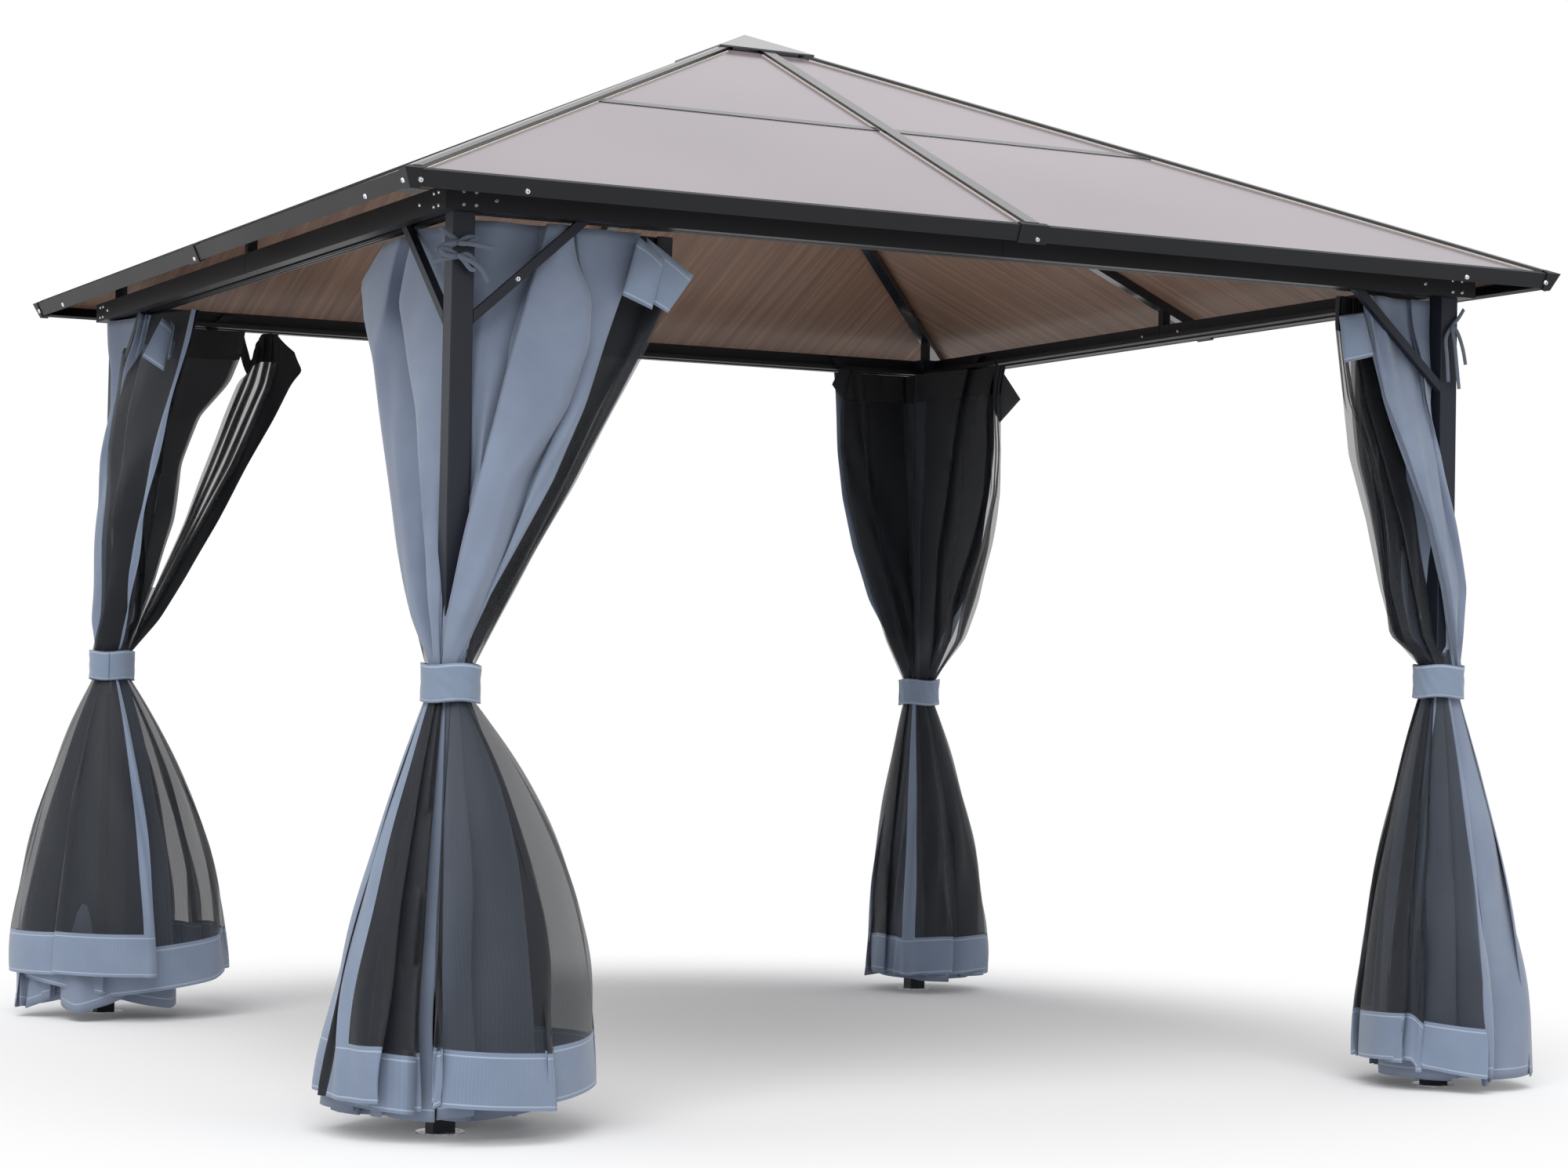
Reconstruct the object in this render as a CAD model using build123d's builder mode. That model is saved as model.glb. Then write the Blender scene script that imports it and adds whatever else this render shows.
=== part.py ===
from build123d import *
from math import acos, atan, cos, sin, sqrt, tan
import os

# A square metal garden gazebo, 3 m by 3 m over the eaves, open on all four sides.
# Millimetres, +Z up, origin on the ground under the apex. The front faces -Y.
# Every side repeats the front one, and every corner the front left one, turned about Z.

os.makedirs("parts", exist_ok=True)

# Plan
roof_half = 1500.0  # middle of the gazebo to the outer edge of the eaves
post_half = 1300.0  # middle of the gazebo to the axis of a post
post_size = 50.0
post_corner_radius = 3.0

# Roof planes: the middle plane of a roof panel, at the apex and above the eaves edge
apex_height = 2654.0
eaves_height = 1980.0

# Base plates
plate_radius = 52.0
plate_thickness = 4.0
anchor_circle_radius = 40.0
anchor_hole_radius = 4.5

# Ring beams, bolted to the outer faces of the posts
beam_depth = 30.0
beam_height = 50.0
beam_top = 1986.0
beam_seam_width = 2.0
beam_seam_depth = 1.0

# Double curtain track between the posts
track_width = 30.0
track_height = 12.0
track_rise = 2.0  # track underside above the beam underside
track_slot_width = 5.0
track_slot_depth = 8.0
track_slot_half_spacing = 7.0

# Knee braces
brace_thickness = 18.0
brace_height = 20.0
brace_foot_height = 1715.0
brace_rise = 246.0
brace_run = 275.0
brace_top_height = 1976.0

# Roof panels and the bars that hold them, measured square to the panel
panel_thickness = 6.0
panel_seat = 3.05  # panel middle plane to the flange that it lies on
panel_cover = 4.0  # panel middle plane to the underside of the cap over it
panel_edge_gap = 2.0
panel_tip_width = 1.0  # least width of an upper panel, at the hub
bar_cap_top = 12.0
bar_cap_half = 18.0
bar_web_half = 6.0
bar_box_half = 16.0
middle_bar_drop = 28.0
hip_bar_drop = 30.0
hip_ridge_half = 6.0

# Eave rails: a channel square to the roof slope
rail_wall = 3.0
rail_top = 8.0
rail_drop = 30.0
rail_lip = 16.0
rail_shelf = 4.0
rail_foot = 14.0

# Covers over the rail joints
cover_wall = 3.0
cover_half_length = 37.0
corner_cover_length = 40.0

# Strips that join the lower and the upper panels
joint_share = 0.52  # share of the way from the apex to the eaves
joint_flange_half = 15.0
joint_web_half = 1.5
joint_flange = 2.0
joint_end_gap = 1.0  # strip end to the cap of a bar

# Apex
hub_half = 70.0
hub_sides = 8
hub_bottom = 2586.0
hub_top = 2635.0
cap_half = 138.0
cap_thickness = 4.0
cap_tip_half = 1.0
skirt_half = 126.0
skirt_wall = 4.0
skirt_bar_gap = 20.0
skirt_hip_gap = 30.0

# Short struts between the ring beams and the roof bars
strut_size = 24.0

# Curtains, nets and tie-backs at each corner
tie_height = 80.0
tie_half = 62.0
tie_corner_radius = 40.0
tie_post_gap = 0.5
header_height = 78.0
belly_height = 1500.0
curtain_hem_height = 42.0
net_hem_height = 72.0
curtain_wall = 24.0
net_wall = 28.0
curtain_neck = (37.0, 47.0)  # inner and outer radius
net_neck = (48.0, 60.0)
curtain_hem_share = 0.8  # hem radius of the curtain as a share of the net's
skirt_steps = [(0.0, 0.0), (0.2, 0.38), (0.6, 0.8), (1.0, 1.0)]  # way down, way out

# The cloth that hangs beside a post, from the track down to the tie-back. At each level:
# what is added to its reach from the post axis, where it starts, its two faces from the post
# axis (outwards is negative), and how far the start of the inner face stands back.
curtain_levels = {
    "track": {"added": -30, "start": 28, "faces": (-4, 9), "stand_back": 1},
    "header": {"added": 0, "start": 28, "faces": (-4, 36), "stand_back": 10},
    "belly": {"added": 0, "start": 28, "faces": (-6, 45), "stand_back": 20},
    "tie": {"added": 60, "start": 27, "faces": (-58, 25), "stand_back": 1},
}
net_levels = {
    "track": {"added": -10, "start": 30, "faces": (11, 24), "stand_back": 1},
    "header": {"added": 20, "start": 42, "faces": (40, 72), "stand_back": 32},
    "belly": {"added": 10, "start": 51, "faces": (49, 80), "stand_back": 31},
    "tie": {"added": 60, "start": 31, "faces": (29, 56), "stand_back": 27},
}

# Worked-out values
pitch = atan((apex_height - eaves_height) / roof_half)
hip_pitch = atan(tan(pitch) / sqrt(2))
hip_fall = acos(cos(pitch) ** 2) / 2  # how far each panel falls away beside a hip
rail_end = (roof_half - (rail_top + cover_wall) * sin(pitch)) / cos(pitch) - cover_wall
bar_end = rail_end - rail_lip
joint_run = joint_share * roof_half / cos(pitch)
beam_bottom = beam_top - beam_height
beam_inner = post_half + post_size / 2
beam_outer = beam_inner + beam_depth
track_bottom = beam_bottom + track_rise
post_face = post_half - post_size / 2

# Planes
down_slope = Vector(0, -cos(pitch), -sin(pitch))
roof_normal = Vector(0, -sin(pitch), cos(pitch))
apex = Vector(0, 0, apex_height)
roof_plane = Plane(origin=apex, x_dir=(1, 0, 0), z_dir=roof_normal)
bar_section = Plane(origin=apex, x_dir=(1, 0, 0), z_dir=down_slope)
rail_section = Plane(origin=apex, x_dir=down_slope, z_dir=(-1, 0, 0))
hip_direction = Vector(-1, -1, -tan(pitch)).normalized()
hip_section = Plane(origin=apex, x_dir=(1, -1, 0), z_dir=hip_direction)
left_mitre = Plane(origin=(0, 0, 0), x_dir=(0, 0, 1), z_dir=(1, -1, 0))
right_mitre = Plane(origin=(0, 0, 0), x_dir=(0, 0, 1), z_dir=(-1, -1, 0))
front_bar_end = Plane(origin=apex + down_slope * bar_end, x_dir=(1, 0, 0), z_dir=down_slope)
left_slope = Vector(-cos(pitch), 0, -sin(pitch))
left_bar_end = Plane(origin=apex + left_slope * bar_end, x_dir=(0, 1, 0), z_dir=left_slope)

side_turns = {"front": 0, "right": 90, "back": 180, "left": 270}
corner_turns = {"front_left": 0, "front_right": 90, "back_right": 180, "back_left": 270}

# How far each corner's cloth reaches along its two beams, the share of that at the belly, where
# its skirt hangs, and its tie-back's middle. Along and across are the two beams at the corner.
corner_cloth = {
    "front_left": {
        "along": 530, "across": 560, "belly": 0.65, "hem": 288, "shift": (45, 18), "tie": 943,
    },
    "front_right": {
        "along": 335, "across": 330, "belly": 0.82, "hem": 225, "shift": (15, -45), "tie": 990,
    },
    "back_right": {
        "along": 320, "across": 540, "belly": 0.85, "hem": 205, "shift": (-50, 0), "tie": 935,
    },
    "back_left": {
        "along": 470, "across": 520, "belly": 0.72, "hem": 300, "shift": (30, 30), "tie": 970,
    },
}


def height_over(distance, offset):
    # Height of a plane parallel to the roof panels, so far out from the middle
    return apex_height - distance * tan(pitch) + offset / cos(pitch)


def write_piece(shape, name):
    shape.label = name
    export_step(shape, f"parts/{name}.step")


def write_turned(shape, stem, turns):
    # The same piece on each side or at each corner
    for place, turn in turns.items():
        with BuildPart() as piece:
            add(shape, rotation=(0, 0, turn))
        write_piece(piece.part, f"{stem}_{place}")


def write_ring(shape, name):
    # One node that holds the piece four times, once for each side or corner
    with BuildPart() as ring:
        with PolarLocations(0, 4):
            add(shape)
    write_piece(ring.part, name)


# Posts: square tubes from the base plates to the top of the ring beams
with BuildPart() as post:
    with BuildSketch(Plane.XY.offset(plate_thickness)):
        with Locations((-post_half, -post_half)):
            RectangleRounded(post_size, post_size, post_corner_radius)
    extrude(amount=beam_top - plate_thickness)
write_turned(post.part, "post", corner_turns)

# Base plates: round steel plates with four anchor holes beside the post
with BuildPart() as plate:
    with BuildSketch(Plane.XY):
        with Locations((-post_half, -post_half)):
            Circle(plate_radius)
            with PolarLocations(anchor_circle_radius, 4):
                Circle(anchor_hole_radius, mode=Mode.SUBTRACT)
    extrude(amount=plate_thickness)
write_ring(plate.part, "base_plates")

# Ring beams: each laps the end of the next one, with a seam where its two lengths meet
with BuildPart() as beam:
    with BuildSketch(Plane.YZ.offset(-beam_inner)):
        with Locations((-(beam_inner + beam_depth / 2), beam_top - beam_height / 2)):
            Rectangle(beam_depth - 2 * beam_seam_depth, beam_height - 2 * beam_seam_depth)
    extrude(amount=beam_inner + beam_outer)
    for start, length in (
        (-beam_inner, beam_inner - beam_seam_width / 2),
        (beam_seam_width / 2, beam_outer - beam_seam_width / 2),
    ):
        with BuildSketch(Plane.YZ.offset(start)):
            with Locations((-(beam_inner + beam_depth / 2), beam_top - beam_height / 2)):
                Rectangle(beam_depth, beam_height)
        extrude(amount=length)
write_turned(beam.part, "ring_beam", side_turns)

# Curtain tracks: double channels between the posts, open below
with BuildPart() as track:
    with BuildSketch(Plane.YZ.offset(-post_face)):
        with Locations((-(post_face + track_width / 2), track_bottom + track_height / 2)):
            Rectangle(track_width, track_height)
            with Locations(
                (-track_slot_half_spacing, (track_slot_depth - track_height) / 2),
                (track_slot_half_spacing, (track_slot_depth - track_height) / 2),
            ):
                Rectangle(track_slot_width, track_slot_depth, mode=Mode.SUBTRACT)
    extrude(amount=2 * post_face)
write_ring(track.part, "curtain_tracks")

# Knee braces: one to each beam, from the side of the post to the inner face of the beam
brace_angle = atan(brace_rise / brace_run)
brace_half_cut = brace_height / 2 / cos(brace_angle)
brace_top_run = brace_top_height - brace_foot_height
with BuildPart() as braces:
    with BuildSketch(Plane.XZ.offset(beam_inner)):
        with BuildLine():
            Polyline(
                (-post_face, brace_foot_height - brace_half_cut),
                (-post_face, brace_foot_height + brace_half_cut),
                (-post_face + (brace_top_run - brace_half_cut) / tan(brace_angle), brace_top_height),
                (-post_face + (brace_top_run + brace_half_cut) / tan(brace_angle), brace_top_height),
                close=True,
            )
        make_face()
    extrude(amount=-brace_thickness)
    mirror(about=left_mitre)
write_ring(braces.part, "knee_braces")

# Eave rails: channels that hold the lower panel edges, mitred at the corners
with BuildPart() as rail:
    with BuildSketch(rail_section):
        with BuildLine():
            Polyline(
                (rail_end, rail_top),
                (rail_end, -rail_drop),
                (rail_end - rail_foot, -rail_drop),
                (rail_end - rail_foot, rail_wall - rail_drop),
                (rail_end - rail_wall, rail_wall - rail_drop),
                (rail_end - rail_wall, -panel_seat - rail_shelf),
                (bar_end, -panel_seat - rail_shelf),
                (bar_end, -panel_seat),
                (rail_end - rail_wall, -panel_seat),
                (rail_end - rail_wall, panel_cover),
                (bar_end, panel_cover),
                (bar_end, rail_top),
                close=True,
            )
        make_face()
    extrude(amount=roof_half, both=True)
    split(bisect_by=left_mitre, keep=Keep.TOP)
    split(bisect_by=right_mitre, keep=Keep.TOP)
write_turned(rail.part, "eave_rail", side_turns)

# Rail covers: a sleeve over the middle joint of each rail and a cap over each corner
cover_outline = [
    (rail_end + cover_wall, rail_top + cover_wall),
    (rail_end + cover_wall, -rail_drop - cover_wall),
    (rail_end - rail_foot, -rail_drop - cover_wall),
    (rail_end - rail_foot, -rail_drop),
    (rail_end, -rail_drop),
    (rail_end, rail_top),
    (bar_end, rail_top),
    (bar_end, rail_top + cover_wall),
]
with BuildPart() as sleeve:
    with BuildSketch(rail_section):
        with BuildLine():
            Polyline(*cover_outline, close=True)
        make_face()
    extrude(amount=cover_half_length, both=True)
with BuildPart() as corner_cap:
    with BuildSketch(rail_section.offset(roof_half - corner_cover_length)):
        with BuildLine():
            Polyline(*cover_outline, close=True)
        make_face()
    extrude(amount=2 * corner_cover_length)
    split(bisect_by=left_mitre, keep=Keep.TOP)
    mirror(about=left_mitre)
with BuildPart() as covers:
    with PolarLocations(0, 4):
        add(sleeve.part)
        add(corner_cap.part)
write_piece(covers.part, "rail_covers")

# Middle roof bars: a box below the panels, a web between them and a cap over their edges
with BuildPart() as middle_bar:
    with BuildSketch(bar_section.offset(hub_half / 2)):
        with BuildLine():
            Polyline(
                (-bar_cap_half, bar_cap_top),
                (bar_cap_half, bar_cap_top),
                (bar_cap_half, panel_cover),
                (bar_web_half, panel_cover),
                (bar_web_half, -panel_seat),
                (bar_box_half, -panel_seat),
                (bar_box_half, -middle_bar_drop),
                (-bar_box_half, -middle_bar_drop),
                (-bar_box_half, -panel_seat),
                (-bar_web_half, -panel_seat),
                (-bar_web_half, panel_cover),
                (-bar_cap_half, panel_cover),
                close=True,
            )
        make_face()
    extrude(amount=bar_end - hub_half / 2)
    split(bisect_by=Plane.XZ.offset(hub_half), keep=Keep.TOP)
write_turned(middle_bar.part, "middle_roof_bar", side_turns)


def beside_hip(across, offset):
    # A point of the hip section, so far square above or below the panels' middle planes
    return (across, offset / cos(hip_fall) - across * tan(hip_fall))


# Hip bars: the same build, with the cap and the seats folded to the two roof planes
hip_half = [
    beside_hip(hip_ridge_half, bar_cap_top),
    beside_hip(bar_cap_half, bar_cap_top),
    beside_hip(bar_cap_half, panel_cover),
    beside_hip(bar_web_half, panel_cover),
    beside_hip(bar_web_half, -panel_seat),
    beside_hip(bar_box_half, -panel_seat),
    (bar_box_half, -hip_bar_drop),
]
hip_outline = hip_half + [(-across, up) for across, up in reversed(hip_half)]
hip_hub_face = Plane(
    origin=(-hub_half / sqrt(2), -hub_half / sqrt(2), 0), x_dir=(1, -1, 0), z_dir=(-1, -1, 0)
)
with BuildPart() as hip_bar:
    with BuildSketch(hip_section.offset(hub_half / 2)):
        with BuildLine():
            Polyline(*hip_outline, close=True)
        make_face()
    extrude(amount=roof_half * sqrt(2) / cos(hip_pitch) - hub_half / 2)
    split(bisect_by=hip_hub_face, keep=Keep.TOP)
    split(bisect_by=front_bar_end, keep=Keep.BOTTOM)
    split(bisect_by=left_bar_end, keep=Keep.BOTTOM)
write_turned(hip_bar.part, "hip_roof_bar", corner_turns)

# Roof panels: two lower and two upper sheets of twin-wall polycarbonate on each side.
# On the roof plane a hip runs at half_width = run * cos(pitch).
hip_lean = atan(cos(pitch))
hip_edge_gap = (bar_web_half + panel_edge_gap) / cos(hip_fall) / cos(hip_lean)
middle_edge_gap = bar_web_half + panel_edge_gap


def panel_pair(top_run, bottom_run):
    with BuildPart() as pair:
        with BuildSketch(roof_plane):
            with BuildLine():
                Polyline(
                    (middle_edge_gap, -top_run),
                    (max(top_run * cos(pitch) - hip_edge_gap, middle_edge_gap + panel_tip_width), -top_run),
                    (bottom_run * cos(pitch) - hip_edge_gap, -bottom_run),
                    (middle_edge_gap, -bottom_run),
                    close=True,
                )
            make_face()
            mirror(about=Plane.YZ)
        extrude(amount=panel_thickness / 2, both=True)
    return pair.part


panel_joint_gap = joint_web_half + panel_edge_gap
hub_run = (hub_half + panel_edge_gap) / cos(pitch)
lower_panels = panel_pair(joint_run + panel_joint_gap, rail_end - rail_wall - panel_edge_gap)
upper_panels = panel_pair(hub_run, joint_run - panel_joint_gap)
write_turned(lower_panels, "lower_roof_panels", side_turns)
write_turned(upper_panels, "upper_roof_panels", side_turns)

# Panel joint strips: an H across each half of a side, between the middle bar and the hips
strip_inner = bar_cap_half + joint_end_gap
strip_hip_gap = strip_inner / cos(hip_fall) / cos(hip_lean)


def strip_outline(half_width):
    # Corners of a strip's outline on the roof plane, cut to the slant of the hip
    upper_run = joint_run - half_width
    lower_run = joint_run + half_width
    return [
        (strip_inner, -upper_run),
        (upper_run * cos(pitch) - strip_hip_gap, -upper_run),
        (lower_run * cos(pitch) - strip_hip_gap, -lower_run),
        (strip_inner, -lower_run),
    ]


strip_top = panel_thickness / 2 + joint_flange
with BuildPart() as strip:
    for level, half_width, thickness in (
        (-strip_top, joint_flange_half, joint_flange),
        (-panel_thickness / 2, joint_web_half, panel_thickness),
        (panel_thickness / 2, joint_flange_half, joint_flange),
    ):
        with BuildSketch(roof_plane.offset(level)):
            with BuildLine():
                Polyline(*strip_outline(half_width), close=True)
            make_face()
        extrude(amount=thickness)
    mirror(about=Plane.YZ)
write_ring(strip.part, "panel_joint_strips")

# Apex hub: an eight-sided block that the bars are bolted to
with BuildPart() as hub:
    with BuildSketch(Plane.XY.offset(hub_bottom)):
        RegularPolygon(hub_half, hub_sides, major_radius=False, rotation=180 / hub_sides)
    extrude(amount=hub_top - hub_bottom)
write_piece(hub.part, "apex_hub")

# Apex cap: a low pyramid on the caps of the bars, with a closing skirt between the bars
with BuildPart() as skirt_strip:
    with BuildSketch(roof_plane.offset(panel_cover)):
        with BuildLine():
            Polyline(
                (skirt_bar_gap, -skirt_half / cos(pitch)),
                (skirt_half - skirt_hip_gap, -skirt_half / cos(pitch)),
                (skirt_half - skirt_hip_gap - skirt_wall, skirt_wall - skirt_half / cos(pitch)),
                (skirt_bar_gap, skirt_wall - skirt_half / cos(pitch)),
                close=True,
            )
        make_face()
    extrude(amount=bar_cap_top + cap_thickness / 2 - panel_cover)
    mirror(about=Plane.YZ)
cap_rim_height = height_over(cap_half, bar_cap_top)
with BuildPart() as cap:
    with BuildSketch(Plane.XY.offset(cap_rim_height)):
        Rectangle(2 * cap_half, 2 * cap_half)
    with BuildSketch(Plane.XY.offset(height_over(cap_half, bar_cap_top + cap_thickness))):
        Rectangle(2 * cap_half, 2 * cap_half)
    with BuildSketch(Plane.XY.offset(height_over(cap_tip_half, bar_cap_top + cap_thickness))):
        Rectangle(2 * cap_tip_half, 2 * cap_tip_half)
    loft(ruled=True)
    with BuildSketch(Plane.XY.offset(cap_rim_height)):
        Rectangle(2 * cap_half, 2 * cap_half)
    with BuildSketch(Plane.XY.offset(height_over(cap_tip_half, bar_cap_top))):
        Rectangle(2 * cap_tip_half, 2 * cap_tip_half)
    loft(ruled=True, mode=Mode.SUBTRACT)
    with PolarLocations(0, 4):
        add(skirt_strip.part)
write_piece(cap.part, "apex_cap")

# Roof struts: a short one on each post under the hip, and on each beam under the middle bar
with BuildPart() as middle_strut:
    with BuildSketch(Plane.XY.offset(beam_top)):
        with Locations((0, -(beam_inner + beam_depth / 2))):
            Rectangle(strut_size, strut_size)
    extrude(amount=height_over(beam_inner, 0) - beam_top)
    split(bisect_by=roof_plane.offset(-middle_bar_drop), keep=Keep.BOTTOM)
hip_underside = Plane(
    origin=apex - hip_section.y_dir * hip_bar_drop, x_dir=(1, -1, 0), z_dir=hip_section.y_dir
)
with BuildPart() as corner_strut:
    with BuildSketch(Plane.XY.offset(beam_top)):
        with Locations((-post_half, -post_half)):
            Rectangle(strut_size, strut_size, rotation=45)
    extrude(amount=height_over(post_half, 0) - beam_top)
    split(bisect_by=hip_underside, keep=Keep.BOTTOM)
with BuildPart() as struts:
    with PolarLocations(0, 4):
        add(middle_strut.part)
        add(corner_strut.part)
write_piece(struts.part, "roof_struts")


def hanging_drape(levels, reach, belly_share, tie_top):
    # Cloth that hangs beside the front left post, from the front track down to the tie-back
    heights = {
        "track": track_bottom,
        "header": track_bottom - header_height,
        "belly": belly_height,
        "tie": tie_top,
    }
    reaches = {"track": reach, "header": reach, "belly": belly_share * reach, "tie": 0}
    with BuildPart() as piece:
        for name, level in levels.items():
            left = level["start"] - post_half
            right = reaches[name] + level["added"] - post_half
            outer, inner = [face - post_half for face in level["faces"]]
            with BuildSketch(Plane.XY.offset(heights[name])):
                with BuildLine():
                    Polyline(
                        (left, outer),
                        (right, outer),
                        (right, inner),
                        (left + level["stand_back"], inner),
                        close=True,
                    )
                make_face()
        loft(ruled=True)
    return piece.part


def flared_skirt(neck, hem, wall, top, bottom, shift):
    # A flared skirt round the post, open below, that hangs from the tie-back
    with BuildPart() as piece:
        for start, end, mode in ((neck[1], hem, Mode.ADD), (neck[0], hem - wall, Mode.SUBTRACT)):
            for down, out in skirt_steps:
                height = top + (bottom - top) * down
                radius = start + (end - start) * out
                middle = (-post_half + shift[0] * out, -post_half + shift[1] * out)
                with BuildSketch(Plane.XY.offset(height)):
                    with Locations(middle):
                        Circle(radius)
            loft(mode=mode)
    return piece.part


def tie_back(top):
    # A strap round the gathered cloth and the post
    with BuildPart() as piece:
        with BuildSketch(Plane.XY.offset(top - tie_height)):
            with Locations((-post_half, -post_half)):
                RectangleRounded(2 * tie_half, 2 * tie_half, tie_corner_radius)
                Rectangle(
                    post_size + 2 * tie_post_gap, post_size + 2 * tie_post_gap, mode=Mode.SUBTRACT
                )
        extrude(amount=tie_height)
    return piece.part


# Curtains, nets and tie-backs: the cloth hangs from the tracks on both sides of a post, is
# gathered round the post by the tie-back and flares below it
ties = []
for place, turn in corner_turns.items():
    cloth = corner_cloth[place]
    tie_top = cloth["tie"] + tie_height / 2
    tie_bottom = tie_top - tie_height
    curtain_skirt = flared_skirt(
        curtain_neck,
        curtain_hem_share * cloth["hem"],
        curtain_wall,
        tie_bottom,
        curtain_hem_height,
        cloth["shift"],
    )
    net_skirt = flared_skirt(
        net_neck, cloth["hem"], net_wall, tie_bottom, net_hem_height, cloth["shift"]
    )
    for stem, levels, skirt in (
        ("curtain", curtain_levels, curtain_skirt),
        ("net", net_levels, net_skirt),
    ):
        along = hanging_drape(levels, cloth["along"], cloth["belly"], tie_top)
        across = hanging_drape(levels, cloth["across"], cloth["belly"], tie_top)
        across = mirror(across, about=left_mitre, mode=Mode.PRIVATE)
        with BuildPart() as hanging:
            for shape in (along, across, skirt):
                add(shape, rotation=(0, 0, turn))
        write_piece(hanging.part, f"{stem}_{place}")
    ties.append((tie_back(tie_top), turn))
with BuildPart() as tie_backs:
    for tie, turn in ties:
        add(tie, rotation=(0, 0, turn))
write_piece(tie_backs.part, "tie_backs")
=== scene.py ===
import math

import bpy
import numpy as np
from mathutils import Matrix, Vector


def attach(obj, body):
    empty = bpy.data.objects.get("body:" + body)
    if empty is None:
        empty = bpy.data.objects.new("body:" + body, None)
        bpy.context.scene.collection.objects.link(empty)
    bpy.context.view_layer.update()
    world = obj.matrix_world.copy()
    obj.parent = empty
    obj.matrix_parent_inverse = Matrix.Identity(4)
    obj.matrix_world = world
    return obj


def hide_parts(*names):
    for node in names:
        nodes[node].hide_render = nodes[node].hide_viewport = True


# The gazebo's looks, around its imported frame: metres, +Z up, the front faces -Y
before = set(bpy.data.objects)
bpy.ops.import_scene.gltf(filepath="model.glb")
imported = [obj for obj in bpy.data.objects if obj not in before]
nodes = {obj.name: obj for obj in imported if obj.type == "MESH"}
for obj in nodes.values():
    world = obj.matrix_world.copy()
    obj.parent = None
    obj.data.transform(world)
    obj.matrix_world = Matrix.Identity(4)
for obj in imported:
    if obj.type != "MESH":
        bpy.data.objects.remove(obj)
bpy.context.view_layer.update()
print("frame loaded:", len(nodes), "nodes")

# The frame's own sizes, repeated from its construction
plan = {"postAxis": 1.3, "beamFace": 1.355}
roof = {"apex": 2.654, "eaves": 1.980, "half": 1.5, "panelTop": 0.003, "capHalf": 0.018}
roof["pitch"] = math.atan((roof["apex"] - roof["eaves"]) / roof["half"])
sideTurns = (0, 90, 180, 270)  # front, right, back, left


def hexColor(text):
    # An sRGB hex value as linear colour
    parts = [int(text[start:start + 2], 16) / 255 for start in (1, 3, 5)]
    linear = [part / 12.92 if part <= 0.04045 else ((part + 0.055) / 1.055) ** 2.4 for part in parts]
    return (*linear, 1.0)


def setStops(ramp, stops):
    points = ramp.elements
    points[0].position, points[1].position = stops[0][0], stops[-1][0]
    points[0].color, points[1].color = hexColor(stops[0][1]), hexColor(stops[-1][1])
    for position, color in stops[1:-1]:
        points.new(position).color = hexColor(color)


def joinLinks(tree, node, links):
    for key, source in links.items():
        tree.links.new(source, node.inputs[key])


def addNode(tree, kind, settings=None, links=None):
    # Settings are a ramp's stops, the node's own properties, or its inputs by name or number
    node = tree.nodes.new(kind)
    for key, value in (settings or {}).items():
        if key == "stops":
            setStops(node.color_ramp, value)
        elif isinstance(key, int) or key in node.inputs:
            node.inputs[key].default_value = value
        else:
            setattr(node, key, value)
    joinLinks(tree, node, links or {})
    return node


def newMaterial(name, settings):
    material = bpy.data.materials.new(name)
    material.use_nodes = True
    tree = material.node_tree
    tree.nodes.clear()
    shader = addNode(tree, "ShaderNodeBsdfPrincipled", settings)
    addNode(tree, "ShaderNodeOutputMaterial", links={"Surface": shader.outputs[0]})
    return material, tree, shader


def waveScale(spacing):
    # A Wave texture of scale 1 has its bands pi / 10 apart
    return math.pi / 10 / spacing


def crossedThreads(tree, cut, spacing, operation, settings):
    # Two sets of bands across each other, as threads lie in a cloth
    threads = []
    for direction in ("X", "Y"):
        bands = {"wave_type": "BANDS", "bands_direction": direction, "Scale": waveScale(spacing), **settings}
        threads.append(addNode(tree, "ShaderNodeTexWave", bands, {"Vector": cut}).outputs[1])
    both = {0: threads[0], 1: threads[1]}
    return addNode(tree, "ShaderNodeMath", {"operation": operation}, both).outputs[0]


def powderCoat(name, dark, light, roughness, polish):
    # Powder-coated aluminium: near black, with the fine pebbling of baked powder. The bars and the
    # cap of the roof are smoother, and mirror the sky at a low angle.
    grain = {"pebble": 0.0022, "cloud": 0.35, "bump": 0.06, "bumpDepth": 0.001, "uneven": 0.07}
    material, tree, shader = newMaterial(name, {
        "Specular IOR Level": 0.32 if polish == 0 else 0.5, "Coat Weight": polish, "Coat Roughness": 0.10,
    })
    place = addNode(tree, "ShaderNodeTexCoord").outputs["Object"]
    clouds = {"Scale": 1 / grain["cloud"], "Detail": 3.0}
    cloud = addNode(tree, "ShaderNodeTexNoise", clouds, {"Vector": place}).outputs[0]
    pebbles = {"Scale": 1 / grain["pebble"], "Detail": 1.0}
    pebble = addNode(tree, "ShaderNodeTexNoise", pebbles, {"Vector": place}).outputs[0]
    shades = {"stops": ((0.3, dark), (0.7, light))}
    color = addNode(tree, "ShaderNodeValToRGB", shades, {"Fac": cloud})
    gloss = {"To Min": roughness - grain["uneven"], "To Max": roughness + grain["uneven"]}
    rough = addNode(tree, "ShaderNodeMapRange", gloss, {"Value": cloud})
    relief = {"Strength": grain["bump"], "Distance": grain["bumpDepth"]}
    bump = addNode(tree, "ShaderNodeBump", relief, {"Height": pebble})
    joinLinks(tree, shader, {
        "Base Color": color.outputs[0], "Roughness": rough.outputs[0], "Normal": bump.outputs[0],
    })
    return material


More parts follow.
